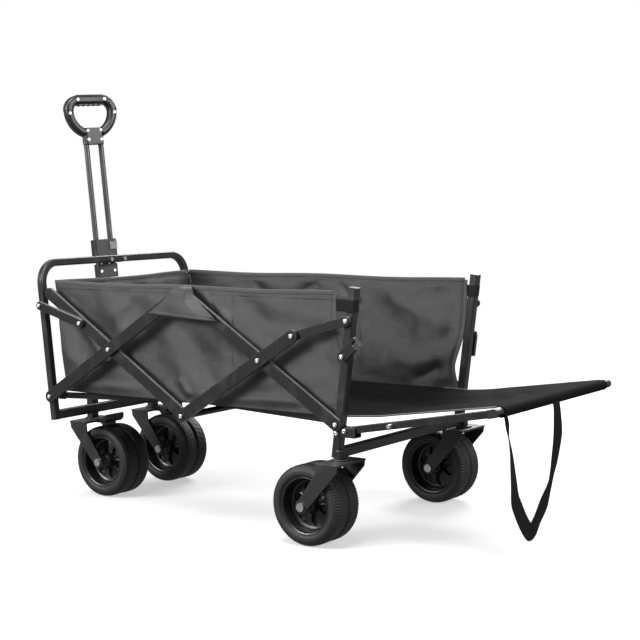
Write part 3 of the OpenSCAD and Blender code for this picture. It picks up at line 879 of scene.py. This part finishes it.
@dataclass
class TubFloor:
    """The cloth floor with its cross seams."""

    layout: Layout
    rear: float = 262.0
    columns: int = 170
    rows: int = 90
    sag: float = 2.0
    seams: tuple[float, ...] = (-280.0, -111.5, 57.0)
    cloth: float = 1.6

    def build(self) -> None:
        """Makes the floor: a plane with shallow dips between the crossing bars."""
        lay = self.layout
        front = lay.front_low + 1
        u, v = np.meshgrid(np.linspace(0, 1, self.columns), np.linspace(-1, 1, self.rows), indexing="ij")
        x, y = front + (self.rear - front) * u, v * (lay.wall_y - 0.5)
        z = lay.floor_z + 1.2 + ripple(x, y, 31, 170, 1.4) - self.sag * np.cos(v * np.pi / 2) ** 2
        for seam in self.seams:
            z = z - 1.1 * np.exp(-(((x - seam) / 2.5) ** 2))
        floor = grid_piece("tub_floor_cloth", np.stack([x, y, z], -1), Finish.FLOOR, np.stack([x, y], -1))
        thicken(floor, self.cloth)
        lay.fold_away(floor)
        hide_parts("floor_panel")


@dataclass
class PivotFlap:
    """The cloth flap that is sewn over the top middle pivot on each side."""

    layout: Layout
    side: int
    fold_y: float = 261.2
    cloth: float = 1.4

    def build(self) -> None:
        """Makes one flap: a low tent whose point is at the wall's hem.

        Its front runs straight from the front line to the fold, plus a half sine outwards. Past
        the fold it eases over to the back line.
        """
        lay = self.layout
        v = np.linspace(0, 1, 70)
        mid = lay.middle_x
        lines = (
            polyline([(mid - 78, 436), (mid - 60, 447), (mid - 42, 460), (mid - 24, 475),
                      (mid - 15, 485), (mid - 6, 492.5)], 70),
            polyline([(mid + 94, 427), (mid + 68, 434), (mid + 42, 443), (mid + 25, 456), (mid + 17, 470),
                      (mid + 14, 482), (mid + 6, 492.5)], 70),
            polyline([(mid + 100, 426), (mid + 76, 440), (mid + 54, 457), (mid + 34, 474),
                      (mid + 12, 492)], 70),
        )
        ridge = self.fold_y - 3.0 * smooth((v - 0.8) / 0.15) - 28.8 * smooth((v - 0.955) / 0.045)
        back = np.interp(v, [0, 0.1, 0.3, 0.7, 1], [258.5, 253, 250.5, 250, 229.5])
        rows = [np.stack([line[:, 0], level, line[:, 1]], -1)
                for line, level in zip(lines, (ridge - 0.6, ridge, back))]
        u = np.linspace(0, 1, 60)[:, None, None]
        front = rows[0] + (rows[1] - rows[0]) * u
        front[..., 1] += 1.8 * np.sin(np.pi * u[..., 0]) * np.sin(np.pi * v) ** 0.5
        front[..., 2] -= 3.0 * np.sin(np.pi * u[..., 0]) * (1 - v) ** 4
        turned = rows[1] + (rows[2] - rows[1]) * smooth(np.linspace(0, 1, 26)[1:, None, None])
        points = np.concatenate([front, turned], 0)
        x, z = points[..., 0], points[..., 2]
        points[..., 1] += ripple(x, z, 41 + self.side, 60, 0.5) * smooth((1 - v) / 0.3)
        points[..., 1] += 0.8 * smooth((0.13 - v) / 0.02)
        points[..., 1] *= self.side
        word = "near" if self.side < 0 else "far"
        flap = grid_piece(f"pivot_flap_{word}", points, Finish.WALL, np.stack([x, z], -1), flip=self.side > 0)
        thicken(flap, self.cloth)
        lay.fold_away(flap)
        if self.side < 0:
            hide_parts("fabric_flaps")


@dataclass
class TailCloth:
    """The cloth that runs from the floor over the hinge and round the tailgate's tube."""

    layout: Layout
    start: float = 60.0
    wrap: float = 9.6
    across: int = 120
    floor_part: int = 60
    arm_part: int = 120
    sag: float = 4.5
    tube_seam: float = 575.0
    hinge_seam: float = 296.0
    cloth: float = 1.4

    def line(self) -> tuple[np.ndarray, np.ndarray, np.ndarray]:
        """The cloth's own line in X and Z, and how free each place is to sag.

        From the tub's floor the line rises over the hinge, falls along the arms to the tube's
        top, goes round the tube at a fixed distance and ends below it.

        Returns:
            X, Z and the freedom, from 0 to 1.
        """
        lay = self.layout
        s = np.array([self.start, 110.0])
        tx, tz = lay.on_tail(s, self.height(s))
        knots = [
            (228, lay.floor_z + 2.2), (256, lay.floor_z + 2.6), (286, lay.floor_z + 3.2),
            (tx[0], tz[0]), (tx[1], tz[1]),
        ]
        lead = polyline(knots, self.floor_part)
        run = np.linspace(112, lay.tail_length - 2, self.arm_part)
        fx, fz = lay.on_tail(run, self.height(run))
        turn = np.linspace(0, math.radians(232), 40)[1:]
        cx, cz = lay.on_tail(lay.tail_length + self.wrap * np.sin(turn), self.wrap * np.cos(turn))
        free = np.concatenate([
            smooth(np.linspace(0, 1, self.floor_part) * 1.4 - 0.2),
            smooth((lay.tail_length - 22 - run) / 46),
            np.zeros(len(turn)),
        ])
        return np.concatenate([lead[:, 0], fx, cx]), np.concatenate([lead[:, 1], fz, cz]), free

    def height(self, s: np.ndarray) -> np.ndarray:
        """The cloth's height above the arms' centreline at a distance from the hinge."""
        return np.interp(s, [30, self.layout.tail_length], [20.5, self.wrap])

    def build(self) -> None:
        """Makes the cloth, its two side bindings and the seam next to the tube."""
        lay = self.layout
        line_x, line_z, free = self.line()
        v = np.linspace(-1, 1, self.across)
        x, grid_v = np.meshgrid(line_x, v, indexing="ij")
        z = np.repeat(line_z[:, None], len(v), 1)
        free = np.repeat(free[:, None], len(v), 1)
        widths = [lay.wall_y - 3, lay.wall_y - 5, lay.post_y - 19, lay.post_y - 16]
        half = np.interp(x, [228, 262, 300, 345], widths)
        y = grid_v * half
        dip = -self.sag * np.cos(grid_v * np.pi / 2) ** 2
        folds = ripple(x, y, 51, 120, 2.0)
        for crease in (
            Crease((498, -208), (516, 205), 8, 3.6),
            Crease((566, 20), (584, 216), 7, -4.0),
            Crease((430, -200), (530, 60), 14, 2.2),
            Crease((380, 200), (520, -40), 16, 2.0),
            Crease((300, -180), (470, -120), 20, 2.4),
        ):
            folds = folds + crease.lift(x, y)
        calm = smooth((1 - np.abs(grid_v)) / 0.08) * free
        z = z + (dip + folds) * calm
        seam = np.exp(-(((x - self.tube_seam) / 2.0) ** 2)) + np.exp(-(((x - self.hinge_seam) / 2.4) ** 2))
        z = z - 0.9 * seam * (free > 0)
        run = np.concatenate([[0], np.cumsum(np.hypot(np.diff(line_x), np.diff(line_z)))])
        chart = np.stack(np.broadcast_arrays(run[:, None], y), -1)
        cloth = grid_piece("tail_cloth", np.stack([x, y, z], -1), Finish.FLOOR, chart)
        thicken(cloth, self.cloth)
        self.carry(cloth)
        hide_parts("tail_panel")
        past_arms = self.floor_part + self.arm_part + 4
        for column, word in ((0, "near"), (-1, "far")):
            side = np.stack([x, y, z], -1)[:past_arms, column]
            path = polyline(side[::8], 150)
            level = np.tile([0.0, 1, 0], (150, 1))
            tape = swept(f"tail_binding_{word}", path, level, 8, 3.2, Finish.BINDING, 12)
            self.carry(tape)

    def carry(self, piece: bpy.types.Object) -> None:
        """Bakes a piece's place into its mesh; the piece is left where it is made."""
        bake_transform(piece)


@dataclass
class PullStrap:
    """The strap that hangs in a loop from the tailgate's tube and turns a little on its way."""

    layout: Layout
    width: float = 34.0
    thick: float = 1.7
    off_tube: float = 6.5

    def build(self) -> None:
        """Makes the strap along its hanging line.

        Each knot is how far the strap stands off its middle plane, its place across the wagon,
        its height, and how many degrees its width is turned.
        """
        lay = self.layout
        tube_x, tube_z = lay.on_tail(np.array(lay.tail_length), np.array(0.0))
        knots = [
            (1.0, -212, tube_z - 2, 43), (3.0, -209, 270, 42), (2.6, -205, 248, 36), (2.4, -199, 233, 29),
            (2.2, -192, 211, 23), (2.2, -188, 193, 18), (2.0, -180, 150, 10), (1.8, -175, 121, 3),
            (1.4, -164, 103, 0), (1.0, -144, 76, 0), (0.6, -124, 55, 0), (0.4, -112, 49, 0),
            (0.6, -100, 54, 0), (0.8, -84, 70, -4), (1.2, -60, 94, 0), (1.6, -38, 123, -13),
            (1.8, -27, 148, -12), (2.0, -19, 168, -6), (2.6, -9, 202, 0), (3.0, -6, 224, 2),
            (3.0, -8, 250, -2), (3.0, -11, 272, -6), (1.0, -12, tube_z - 2, -6),
        ]
        line = polyline(knots, 280)
        path = np.stack([tube_x + self.off_tube + line[:, 0], line[:, 1], line[:, 2]], -1)
        ahead = np.gradient(path, axis=0)
        ahead /= np.linalg.norm(ahead, axis=1, keepdims=True)
        square = np.cross(ahead, [1.0, 0, 0])
        square /= np.linalg.norm(square, axis=1, keepdims=True)
        twist = np.radians(line[:, 3])
        across = square * np.cos(twist)[:, None] + np.array([1.0, 0, 0]) * np.sin(twist)[:, None]
        strap = swept("pull_strap_webbing", path, across, self.width, self.thick, Finish.WEBBING, 20)
        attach(strap, "strap")
        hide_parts("pull_strap")


@dataclass
class PostLoop:
    """The webbing loop that holds the wall's top corner to a rear post."""

    layout: Layout
    side: int
    height: float = 24.0
    centre_z: float = 466.0
    half: float = 10.3

    def build(self) -> None:
        """Makes the loop as a band round the post's square section, with a tail to the wall."""
        lay = self.layout
        cx = lay.post_x(np.array(self.centre_z))
        turn = np.linspace(0, 2 * np.pi, 96, endpoint=False)
        c, s = np.cos(turn), np.sin(turn)
        px = np.sign(c) * np.abs(c) ** 0.42 * (self.half - 1.0)
        py = np.sign(s) * np.abs(s) ** 0.42 * self.half
        lean = math.tan(math.radians(lay.rear_lean))
        path = np.stack([cx + px, self.side * lay.post_y + py, np.full(96, self.centre_z)], -1)
        up = np.tile([lean, 0.0, 1.0], (96, 1))
        word = "near" if self.side < 0 else "far"
        loop = swept(f"post_loop_{word}", path, up, self.height, 1.4, Finish.LOOP, 16, closed=True)
        knots = [
            (cx - 9.5, self.side * (lay.post_y + 1), self.centre_z),
            (cx - 14.0, self.side * (lay.post_y - 1.5), self.centre_z),
            (cx - 19.0, self.side * (lay.wall_y + 2.6), self.centre_z),
            (cx - 40.0, self.side * (lay.wall_y + 2.6), self.centre_z),
        ]
        tail_path = polyline(knots, 40)
        tail = swept(
            f"post_loop_tail_{word}", tail_path, np.tile([0.0, 0, 1], (40, 1)), self.height, 1.7, Finish.LOOP
        )
        for piece in (loop, tail):
            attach(piece, "rear_frame")
        if self.side < 0:
            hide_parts("post_loops")


# -------------------------------------------------------------------- rivets


@dataclass(frozen=True)
class Rivet:
    """One rivet's place on a side: X, Z, the height of the face it sits on, and its body."""

    x: float
    z: float
    face: float
    body: str
    radius: float = 5.0


@dataclass
class RivetHeads:
    """Domed bright heads with a dimple, over every pivot and bolt on both sides."""

    layout: Layout
    arm_long: float = 237.0
    arm_short: float = 212.0
    arm_angle: float = 32.2
    link_out: float = 98.0
    link_rise: float = 199.0
    outer_face: float = 257.5
    inner_face: float = 250.5
    plate_face: float = 243.5

    def places(self) -> list[Rivet]:
        """Works out every rivet from the arms' lengths and their angle."""
        lay, a = self.layout, math.radians(self.arm_angle)
        cross_z = lay.pivot_z + self.arm_short * math.sin(a)
        low_z = cross_z - self.arm_long * math.sin(a)
        reach = self.arm_long * math.cos(a)
        tip_x, tip_z = (self.arm_long + self.link_out) * math.cos(a), cross_z + self.link_out * math.sin(a)
        out = self.outer_face
        link_z = lay.pivot_z + self.link_rise
        return [
            Rivet(lay.front_x, lay.pivot_z, out, "front_frame"),
            Rivet(-516.43, link_z, out, "front_frame"),
            Rivet(lay.middle_x - reach, cross_z, out, "front_outer_arms"),
            Rivet(lay.middle_x + reach, cross_z, out, "rear_inner_arms"),
            Rivet(lay.middle_x, low_z, out, "front_inner_arms"),
            Rivet(lay.middle_x - tip_x, tip_z, out, "front_short_links"),
            Rivet(lay.middle_x + tip_x, tip_z, out, "rear_outer_arms"),
            Rivet(lay.rear_x, lay.pivot_z, self.inner_face, "rear_inner_arms"),
            Rivet(294.99, link_z, self.inner_face, "rear_frame"),
            Rivet(285.92, 370.0, 252.5, "rear_frame"),
            Rivet(266.04, 221.5, self.plate_face, "rear_frame"),
            Rivet(lay.tail_x, lay.tail_z, self.plate_face, "rear_frame"),
        ]

    def build(self) -> None:
        """Makes one piece for each body, with a head on both sides.

        A head is a turned line: a low dome, 1.6 (1 - 0.97 (r / R)^2)^0.5 high, less a round
        dimple, 0.8 exp(-(r / 1.3)^2).
        """
        groups: dict[str, list[Rivet]] = {}
        for rivet in self.places():
            groups.setdefault(rivet.body, []).append(rivet)
        for body, rivets in groups.items():
            heads = [self.head(rivet, side) for rivet in rivets for side in (-1, 1)]
            joined = join_pieces(f"rivet_heads_{body}", heads)
            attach(joined, body)

    def head(self, rivet: Rivet, side: int) -> bpy.types.Object:
        """Makes one head.

        Args:
            rivet: Its place and size.
            side: -1 for the near side, 1 for the far side.

        Returns:
            The head.
        """
        r = np.concatenate([[0.02], np.linspace(0.4, rivet.radius, 14), [rivet.radius, rivet.radius - 0.4]])
        share = np.clip(r / rivet.radius, 0, 1)
        rise = 0.25 + 1.6 * np.sqrt(1 - 0.97 * share**2) - 0.8 * np.exp(-((r / 1.3) ** 2))
        rise[-2:] = [0.1, -0.6]
        turn = np.linspace(0, 2 * np.pi, 28, endpoint=False)
        tt, k = np.meshgrid(turn, np.arange(len(r)), indexing="ij")
        points = np.stack(
            [rivet.x + r[k] * np.cos(tt), side * (rivet.face + rise[k]), rivet.z + r[k] * np.sin(tt)], -1
        )
        return grid_piece("head", points, Finish.STEEL, None, True, False, flip=side < 0)


def join_pieces(name: str, pieces: Sequence[bpy.types.Object]) -> bpy.types.Object:
    """Joins several pieces into one.

    Args:
        name: The joined piece's name.
        pieces: The pieces, which all share one finish.

    Returns:
        The joined piece.
    """
    bpy.ops.object.select_all(action="DESELECT")
    for piece in pieces:
        piece.select_set(True)
    bpy.context.view_layer.objects.active = pieces[0]
    bpy.ops.object.join()
    joined = pieces[0]
    joined.name = joined.data.name = name
    return joined


@dataclass
class BrakeSpring:
    """The torsion spring on each brake pedal's pin: two short coils and their legs."""

    label: str
    y: float
    x: float = -480.4
    z: float = 170.5
    coil: float = 5.4
    wire: float = 1.7
    turns: float = 3.5
    inside: float = 8.5

    def build(self) -> None:
        """Makes the spring as one wire that winds about the pin.

        The wire is a helix: x and z go round at the coil's radius while y moves steadily.
        """
        turn = np.linspace(0, 2 * np.pi * self.turns, 120)
        halves = []
        for sign in (-1, 1):
            path = np.stack([
                self.x + self.coil * np.cos(turn), self.y + sign * (self.inside + turn * 0.36),
                self.z + self.coil * np.sin(turn),
            ], -1)
            leg = np.array([[self.x + 15, self.y + sign * self.inside, self.z + 1.0]])
            path = polyline(np.vstack([leg, path[::4]]), 150)
            halves.append(
                swept("coil", path, np.tile([0.0, 1, 0], (150, 1)), self.wire, self.wire, Finish.STEEL, 8)
            )
        spring = join_pieces(f"brake_spring_{self.label}", halves)
        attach(spring, f"caster_{self.label}")


# -------------------------------------------------------------------- wheels


class Corner(Enum):
    """The four casters: their label, and where their axles are, in millimetres."""

    FRONT_NEAR = ("fn", -451.44, -102.0)
    FRONT_FAR = ("ff", -451.44, 102.0)
    REAR_NEAR = ("rn", 210.44, -234.0)
    REAR_FAR = ("rf", 210.44, 234.0)

    @property
    def label(self) -> str:
        """The corner's short name."""
        return self.value[0]


@dataclass
class Wheel:
    """One wide wheel: a tyre with two ribbed treads, and a dished rim with six pockets."""

    corner: Corner
    radius: float = 80.0
    width: float = 82.0
    rim_radius: float = 56.0
    spokes: int = 6
    teeth: int = 84
    bore: float = 6.3
    bead: float = 56.2

    def place(self, r: np.ndarray, turn: np.ndarray, y: np.ndarray) -> np.ndarray:
        """Turns radius, angle and width into points about the axle."""
        _, ax, ay = self.corner.value
        return np.stack([ax + r * np.cos(turn), ay + y, self.radius + r * np.sin(turn)], -1)

    def build(self) -> None:
        """Makes the tyre and the rim."""
        self.tyre()
        self.rim()

    def tyre(self) -> None:
        """Makes the tyre as one section turned about the axle.

        The section runs up one side wall, over the two treads and their middle groove, and
        down the other side. Slanted teeth cut the shoulders, and fine lines the treads.
        """
        w, r = self.width / 2, self.radius
        half = [
            (self.rim_radius - 3, 30), (self.rim_radius + 1, w - 3.5), (self.rim_radius + 4, w - 1),
            (r - 17, w - 0.2), (r - 11, w - 0.4), (r - 9.6, w - 1.6), (r - 7, w - 2.2),
            (r - 4, w - 4), (r - 1.7, w - 8), (r - 0.6, w - 14), (r - 0.4, 20), (r - 0.7, 9),
            (r - 1.6, 5.0), (r - 4.6, 3.6), (r - 5.2, 1.6),
        ]
        right = polyline(half, 46)
        left = right[::-1] * [1, -1]
        section = np.vstack([right, left])
        inner = polyline([(self.rim_radius - 3, -30), (self.rim_radius - 3, 0), (self.rim_radius - 3, 30)], 6)
        section = np.vstack([section, inner[1:-1]])
        turn = np.linspace(0, 2 * np.pi, self.teeth * 6, endpoint=False)
        tt, k = np.meshgrid(turn, np.arange(len(section)), indexing="ij")
        rr, yy = section[k, 0], section[k, 1]
        side = np.abs(yy)
        shoulder = smooth((side - 30) / 3) * smooth((rr - (self.radius - 9)) / 3)
        saw = np.sin(self.teeth * tt + np.sign(yy) * side * 0.12)
        crown = smooth((side - 7) / 2) * smooth((31 - side) / 2) * smooth((rr - self.radius + 3) / 1.5)
        block = crown * smooth(0.5 + 2.2 * np.sin(self.teeth / 2 * tt + side * 0.2)) * 0.35
        lines = np.exp(-(((side - 14) / 1.1) ** 2)) + np.exp(-(((side - 24) / 1.1) ** 2))
        rr = rr - 1.5 * shoulder * smooth(0.5 + 1.6 * saw) - 0.6 * crown * lines - block
        points = self.place(rr, tt, yy)
        lay = np.stack([tt * self.radius, np.cumsum(np.ones_like(rr), 1) * 2], -1)
        tyre = grid_piece(f"tyre_tread_{self.corner.label}", points, Finish.TYRE, lay, True, True, flip=True)
        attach(tyre, f"wheel_{self.corner.label}")
        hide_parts(f"tyre_{self.corner.label}")

    def face(self, r: np.ndarray, turn: np.ndarray) -> np.ndarray:
        """How far the rim's face stands from the wheel's middle.

        The face is a dish: high at the bead, low over the spokes and raised at the hub. Each
        pocket is an egg shape, wider towards the bead, pressed in with soft sides.

        Args:
            r: Radius in millimetres.
            turn: Angle in radians.

        Returns:
            Distance from the middle plane in millimetres.
        """
        radii = [self.bore, 13.5, 16, 20, 45, 48.5, 51.5, 53, self.bead]
        base = np.interp(r, radii, [30, 30, 27, 14, 11, 13, 33, 36, 37.2])
        step = 2 * np.pi / self.spokes
        off = (turn + 0.26 + step / 2) % step - step / 2
        across = off * r
        reach = np.clip((r - 20) / 25, 0, 1)
        wide = 2.6 + 9.4 * np.sin(np.pi * np.clip(reach * 0.86 + 0.1, 0, 1)) ** 0.8 * (0.55 + 0.5 * reach)
        inside = smooth((wide - np.abs(across)) / 2.2) * smooth((r - 20) / 2.5) * smooth((45 - r) / 2.5)
        ring = smooth((r - 21) / 2) * smooth((44.5 - r) / 2)
        lip = np.exp(-(((np.abs(across) - wide - 0.8) / 1.1) ** 2)) * ring
        return base - 7.0 * inside + 0.9 * lip

    def rim(self) -> None:
        """Makes the rim as one closed shell: outer face, bead, inner face and bore."""
        turn = np.linspace(0, 2 * np.pi, 252, endpoint=False)
        even = np.linspace(self.bore, self.bead, 62)
        r_out = np.unique(np.concatenate([even, [13.5, 16, 45, 48.5, 51.5, 53]]))
        tt, r1 = np.meshgrid(turn, r_out, indexing="ij")
        front = self.face(r1, tt)
        edge_y = np.linspace(front[0, -1], -front[0, -1], 8)[1:-1]
        _, edge = np.meshgrid(turn, edge_y, indexing="ij")
        rr = np.concatenate([r1, np.full_like(edge, 54.6), r1[:, ::-1]], 1)
        yy = np.concatenate([front, edge, -front[:, ::-1]], 1)
        t_all = np.repeat(turn[:, None], rr.shape[1], 1)
        points = self.place(rr, t_all, yy)
        rim = grid_piece(f"rim_dish_{self.corner.label}", points, Finish.RIM, None, True, True, flip=False)
        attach(rim, f"wheel_{self.corner.label}")
        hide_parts(f"rim_{self.corner.label}")


# ----------------------------------------------------- metal and moulded parts


@dataclass
class Hardware:
    """The metal and moulded parts that keep their own shape and get a finish."""

    nodes: dict[str, bpy.types.Object]

    def finish_of(self, name: str) -> Finish:
        """Chooses a finish from a part's name."""
        starts = {
            ("front_rivets", "rivets_", "rear_rivets", "tail_pins", "handle_screws", "axle_"): Finish.STEEL,
            ("fork_",): Finish.FORK,
            ("handle_rods", "drawbar_tube"): Finish.ROD,
            ("collar_button",): Finish.BUTTON,
            ("grip_",): Finish.GRIP,
            ("handle_clip", "tail_caps", "handle_collar"): Finish.PLASTIC,
            ("slide_block", "base_hub", "pedal_"): Finish.PLASTIC,
            ("arms_", "front_links", "rear_links", "tail_arms", "latch_"): Finish.ARM,
        }
        for words, finish in starts.items():
            if name.startswith(words):
                return finish
        return Finish.FRAME

    def build(self) -> None:
        """Gives every part that stays its finish."""
        for name, piece in sorted(self.nodes.items()):
            if piece.hide_render:
                continue
            piece.data.materials.clear()
            piece.data.materials.append(self.finish_of(name).material())


# ------------------------------------------------------------------------ room


@dataclass
class Room:
    """A pale floor that rises into a far cove, soft lights and the camera."""

    floor_radius: float = 6.0
    cove_radius: float = 3.0
    lens: float = 82.9
    sensor: float = 36.0
    air: float = 0.3
    centre: float = 0.0002
    eye: tuple[float, float, float] = (1.8591, -2.5176, 0.6876)
    right: tuple[float, float, float] = (0.81388, 0.58091, -0.01161)
    up: tuple[float, float, float] = (-0.04233, 0.07922, 0.99596)

    def build(self) -> None:
        """Makes the floor, the lights and the camera."""
        self.floor()
        self.lights()
        self.camera()

    def floor(self) -> None:
        """Makes the floor as a turned line: flat, then a quarter circle upwards."""
        arc = np.linspace(0, np.pi / 2, 24)
        flat = np.linspace(self.centre, self.floor_radius, 12)
        r = np.concatenate([flat, self.floor_radius + self.cove_radius * np.sin(arc[1:])])
        z = np.concatenate([np.zeros(12), self.cove_radius * (1 - np.cos(arc[1:]))])
        turn = np.linspace(0, 2 * np.pi, 96, endpoint=False)
        tt, k = np.meshgrid(turn, np.arange(len(r)), indexing="ij")
        points = np.stack([r[k] * np.cos(tt), r[k] * np.sin(tt), z[k]], -1) * 1000
        ground = grid_piece("studio_floor", points, Finish.GROUND, None, True, False, flip=True)
        ground.visible_diffuse = False
        ground.visible_glossy = False

    def lights(self) -> None:
        """Hangs the soft boxes and sets the sky's even light."""
        world = bpy.data.worlds.new("studio_air")
        world.use_nodes = True
        air = world.node_tree.nodes["Background"]
        air.inputs["Color"].default_value = (1.0, 1.0, 1.0, 1)
        air.inputs["Strength"].default_value = self.air
        bpy.context.scene.world = world
        for name, place, aim, size, power in (
            ("key_box", (-1.9, -3.2, 1.9), (0, 0, 0.3), 1.5, 170.0),
            ("rear_box", (-0.5, 3.0, 2.5), (0, 0, 0.3), 2.0, 170.0),
            ("side_box", (3.4, 0.4, 2.0), (0, 0, 0.3), 1.6, 110.0),
            ("top_box", (0.2, -1.6, 3.8), (0, 0, 0.3), 1.6, 150.0),
        ):
            lamp = bpy.data.lights.new(name, "AREA")
            lamp.shape, lamp.size, lamp.energy = "SQUARE", size, power
            made = bpy.data.objects.new(name, lamp)
            made.location = place
            made.rotation_euler = (Vector(aim) - Vector(place)).to_track_quat("-Z", "Y").to_euler()
            bpy.context.scene.collection.objects.link(made)

    def camera(self) -> None:
        """Stands the camera in its place."""
        lens = bpy.data.cameras.new("studio_camera")
        lens.sensor_width, lens.lens = self.sensor, self.lens
        lens.clip_start, lens.clip_end = 0.1, 60.0
        made = bpy.data.objects.new("studio_camera", lens)
        right, up = Vector(self.right), Vector(self.up)
        back = right.cross(up)
        turn = Matrix((right, up, back)).transposed().to_4x4()
        made.matrix_world = Matrix.Translation(self.eye) @ turn
        bpy.context.scene.collection.objects.link(made)
        bpy.context.scene.camera = made


# ------------------------------------------------------------------------ main


def near_wall(layout: Layout) -> SideWall:
    """The wall on the near side with its own folds."""
    folds = (
        Crease((-480, 470), (-330, 300), 12, 3.0),
        Crease((-470, 275), (-350, 400), 14, -2.5),
        Crease((-250, 480), (-330, 410), 16, 3.0),
        Crease((-80, 485), (10, 420), 9, 4.5),
        Crease((-60, 485), (-10, 400), 8, -3.0),
        Crease((-140, 300), (-110, 262), 9, 4.0),
        Crease((-60, 440), (180, 300), 26, 3.5),
        Crease((20, 300), (240, 330), 22, 3.0),
        Crease((60, 440), (250, 400), 20, -3.0),
        Crease((-60, 262), (200, 275), 14, 3.2),
        Crease((-450, 262), (-220, 268), 14, 2.8),
    )
    edge = [(271, 249), (276, 265), (284.5, 320), (279, 375), (266, 415), (257, 445), (257, 490)]
    return SideWall(layout, -1, edge, folds, seed=3)


def far_wall(layout: Layout) -> SideWall:
    """The wall on the far side with its own folds and curved rear edge."""
    folds = (
        Crease((-100, 480), (-180, 430), 12, 3.2),
        Crease((-60, 480), (20, 420), 10, 3.4),
        Crease((60, 470), (250, 380), 36, -6.0),
        Crease((90, 300), (255, 330), 24, -4.5),
        Crease((150, 262), (225, 300), 12, 4.0),
        Crease((-300, 470), (-200, 400), 14, 3.0),
        Crease((-400, 460), (-330, 330), 18, 3.4),
        Crease((120, 440), (240, 460), 16, 2.4),
    )
    edge = [(268, 249), (257, 272), (253, 299), (257, 318), (268, 350), (277, 385), (281, 430), (283, 490)]
    return SideWall(layout, 1, edge, folds, seed=9)


def main() -> None:
    """Builds every piece in order."""
    logging.basicConfig(level=logging.INFO, format="%(name)s: %(message)s")
    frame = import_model()
    bpy.context.scene.view_settings.view_transform = "Standard"
    layout = Layout()
    parts: list[Any] = [
        Room(),
        near_wall(layout),
        far_wall(layout),
        FrontWall(layout),
        TubFloor(layout),
        PivotFlap(layout, -1),
        PivotFlap(layout, 1),
        TailCloth(layout),
        PullStrap(layout),
        PostLoop(layout, -1),
        PostLoop(layout, 1),
        RivetHeads(layout),
        BrakeSpring("fn", -102.0),
        BrakeSpring("ff", 102.0),
        *(Wheel(corner) for corner in Corner),
        Hardware(frame["nodes"]),
    ]
    for part in parts:
        part.build()
        LOG.info("built %s", type(part).__name__)


if __name__ == "__main__":
    main()
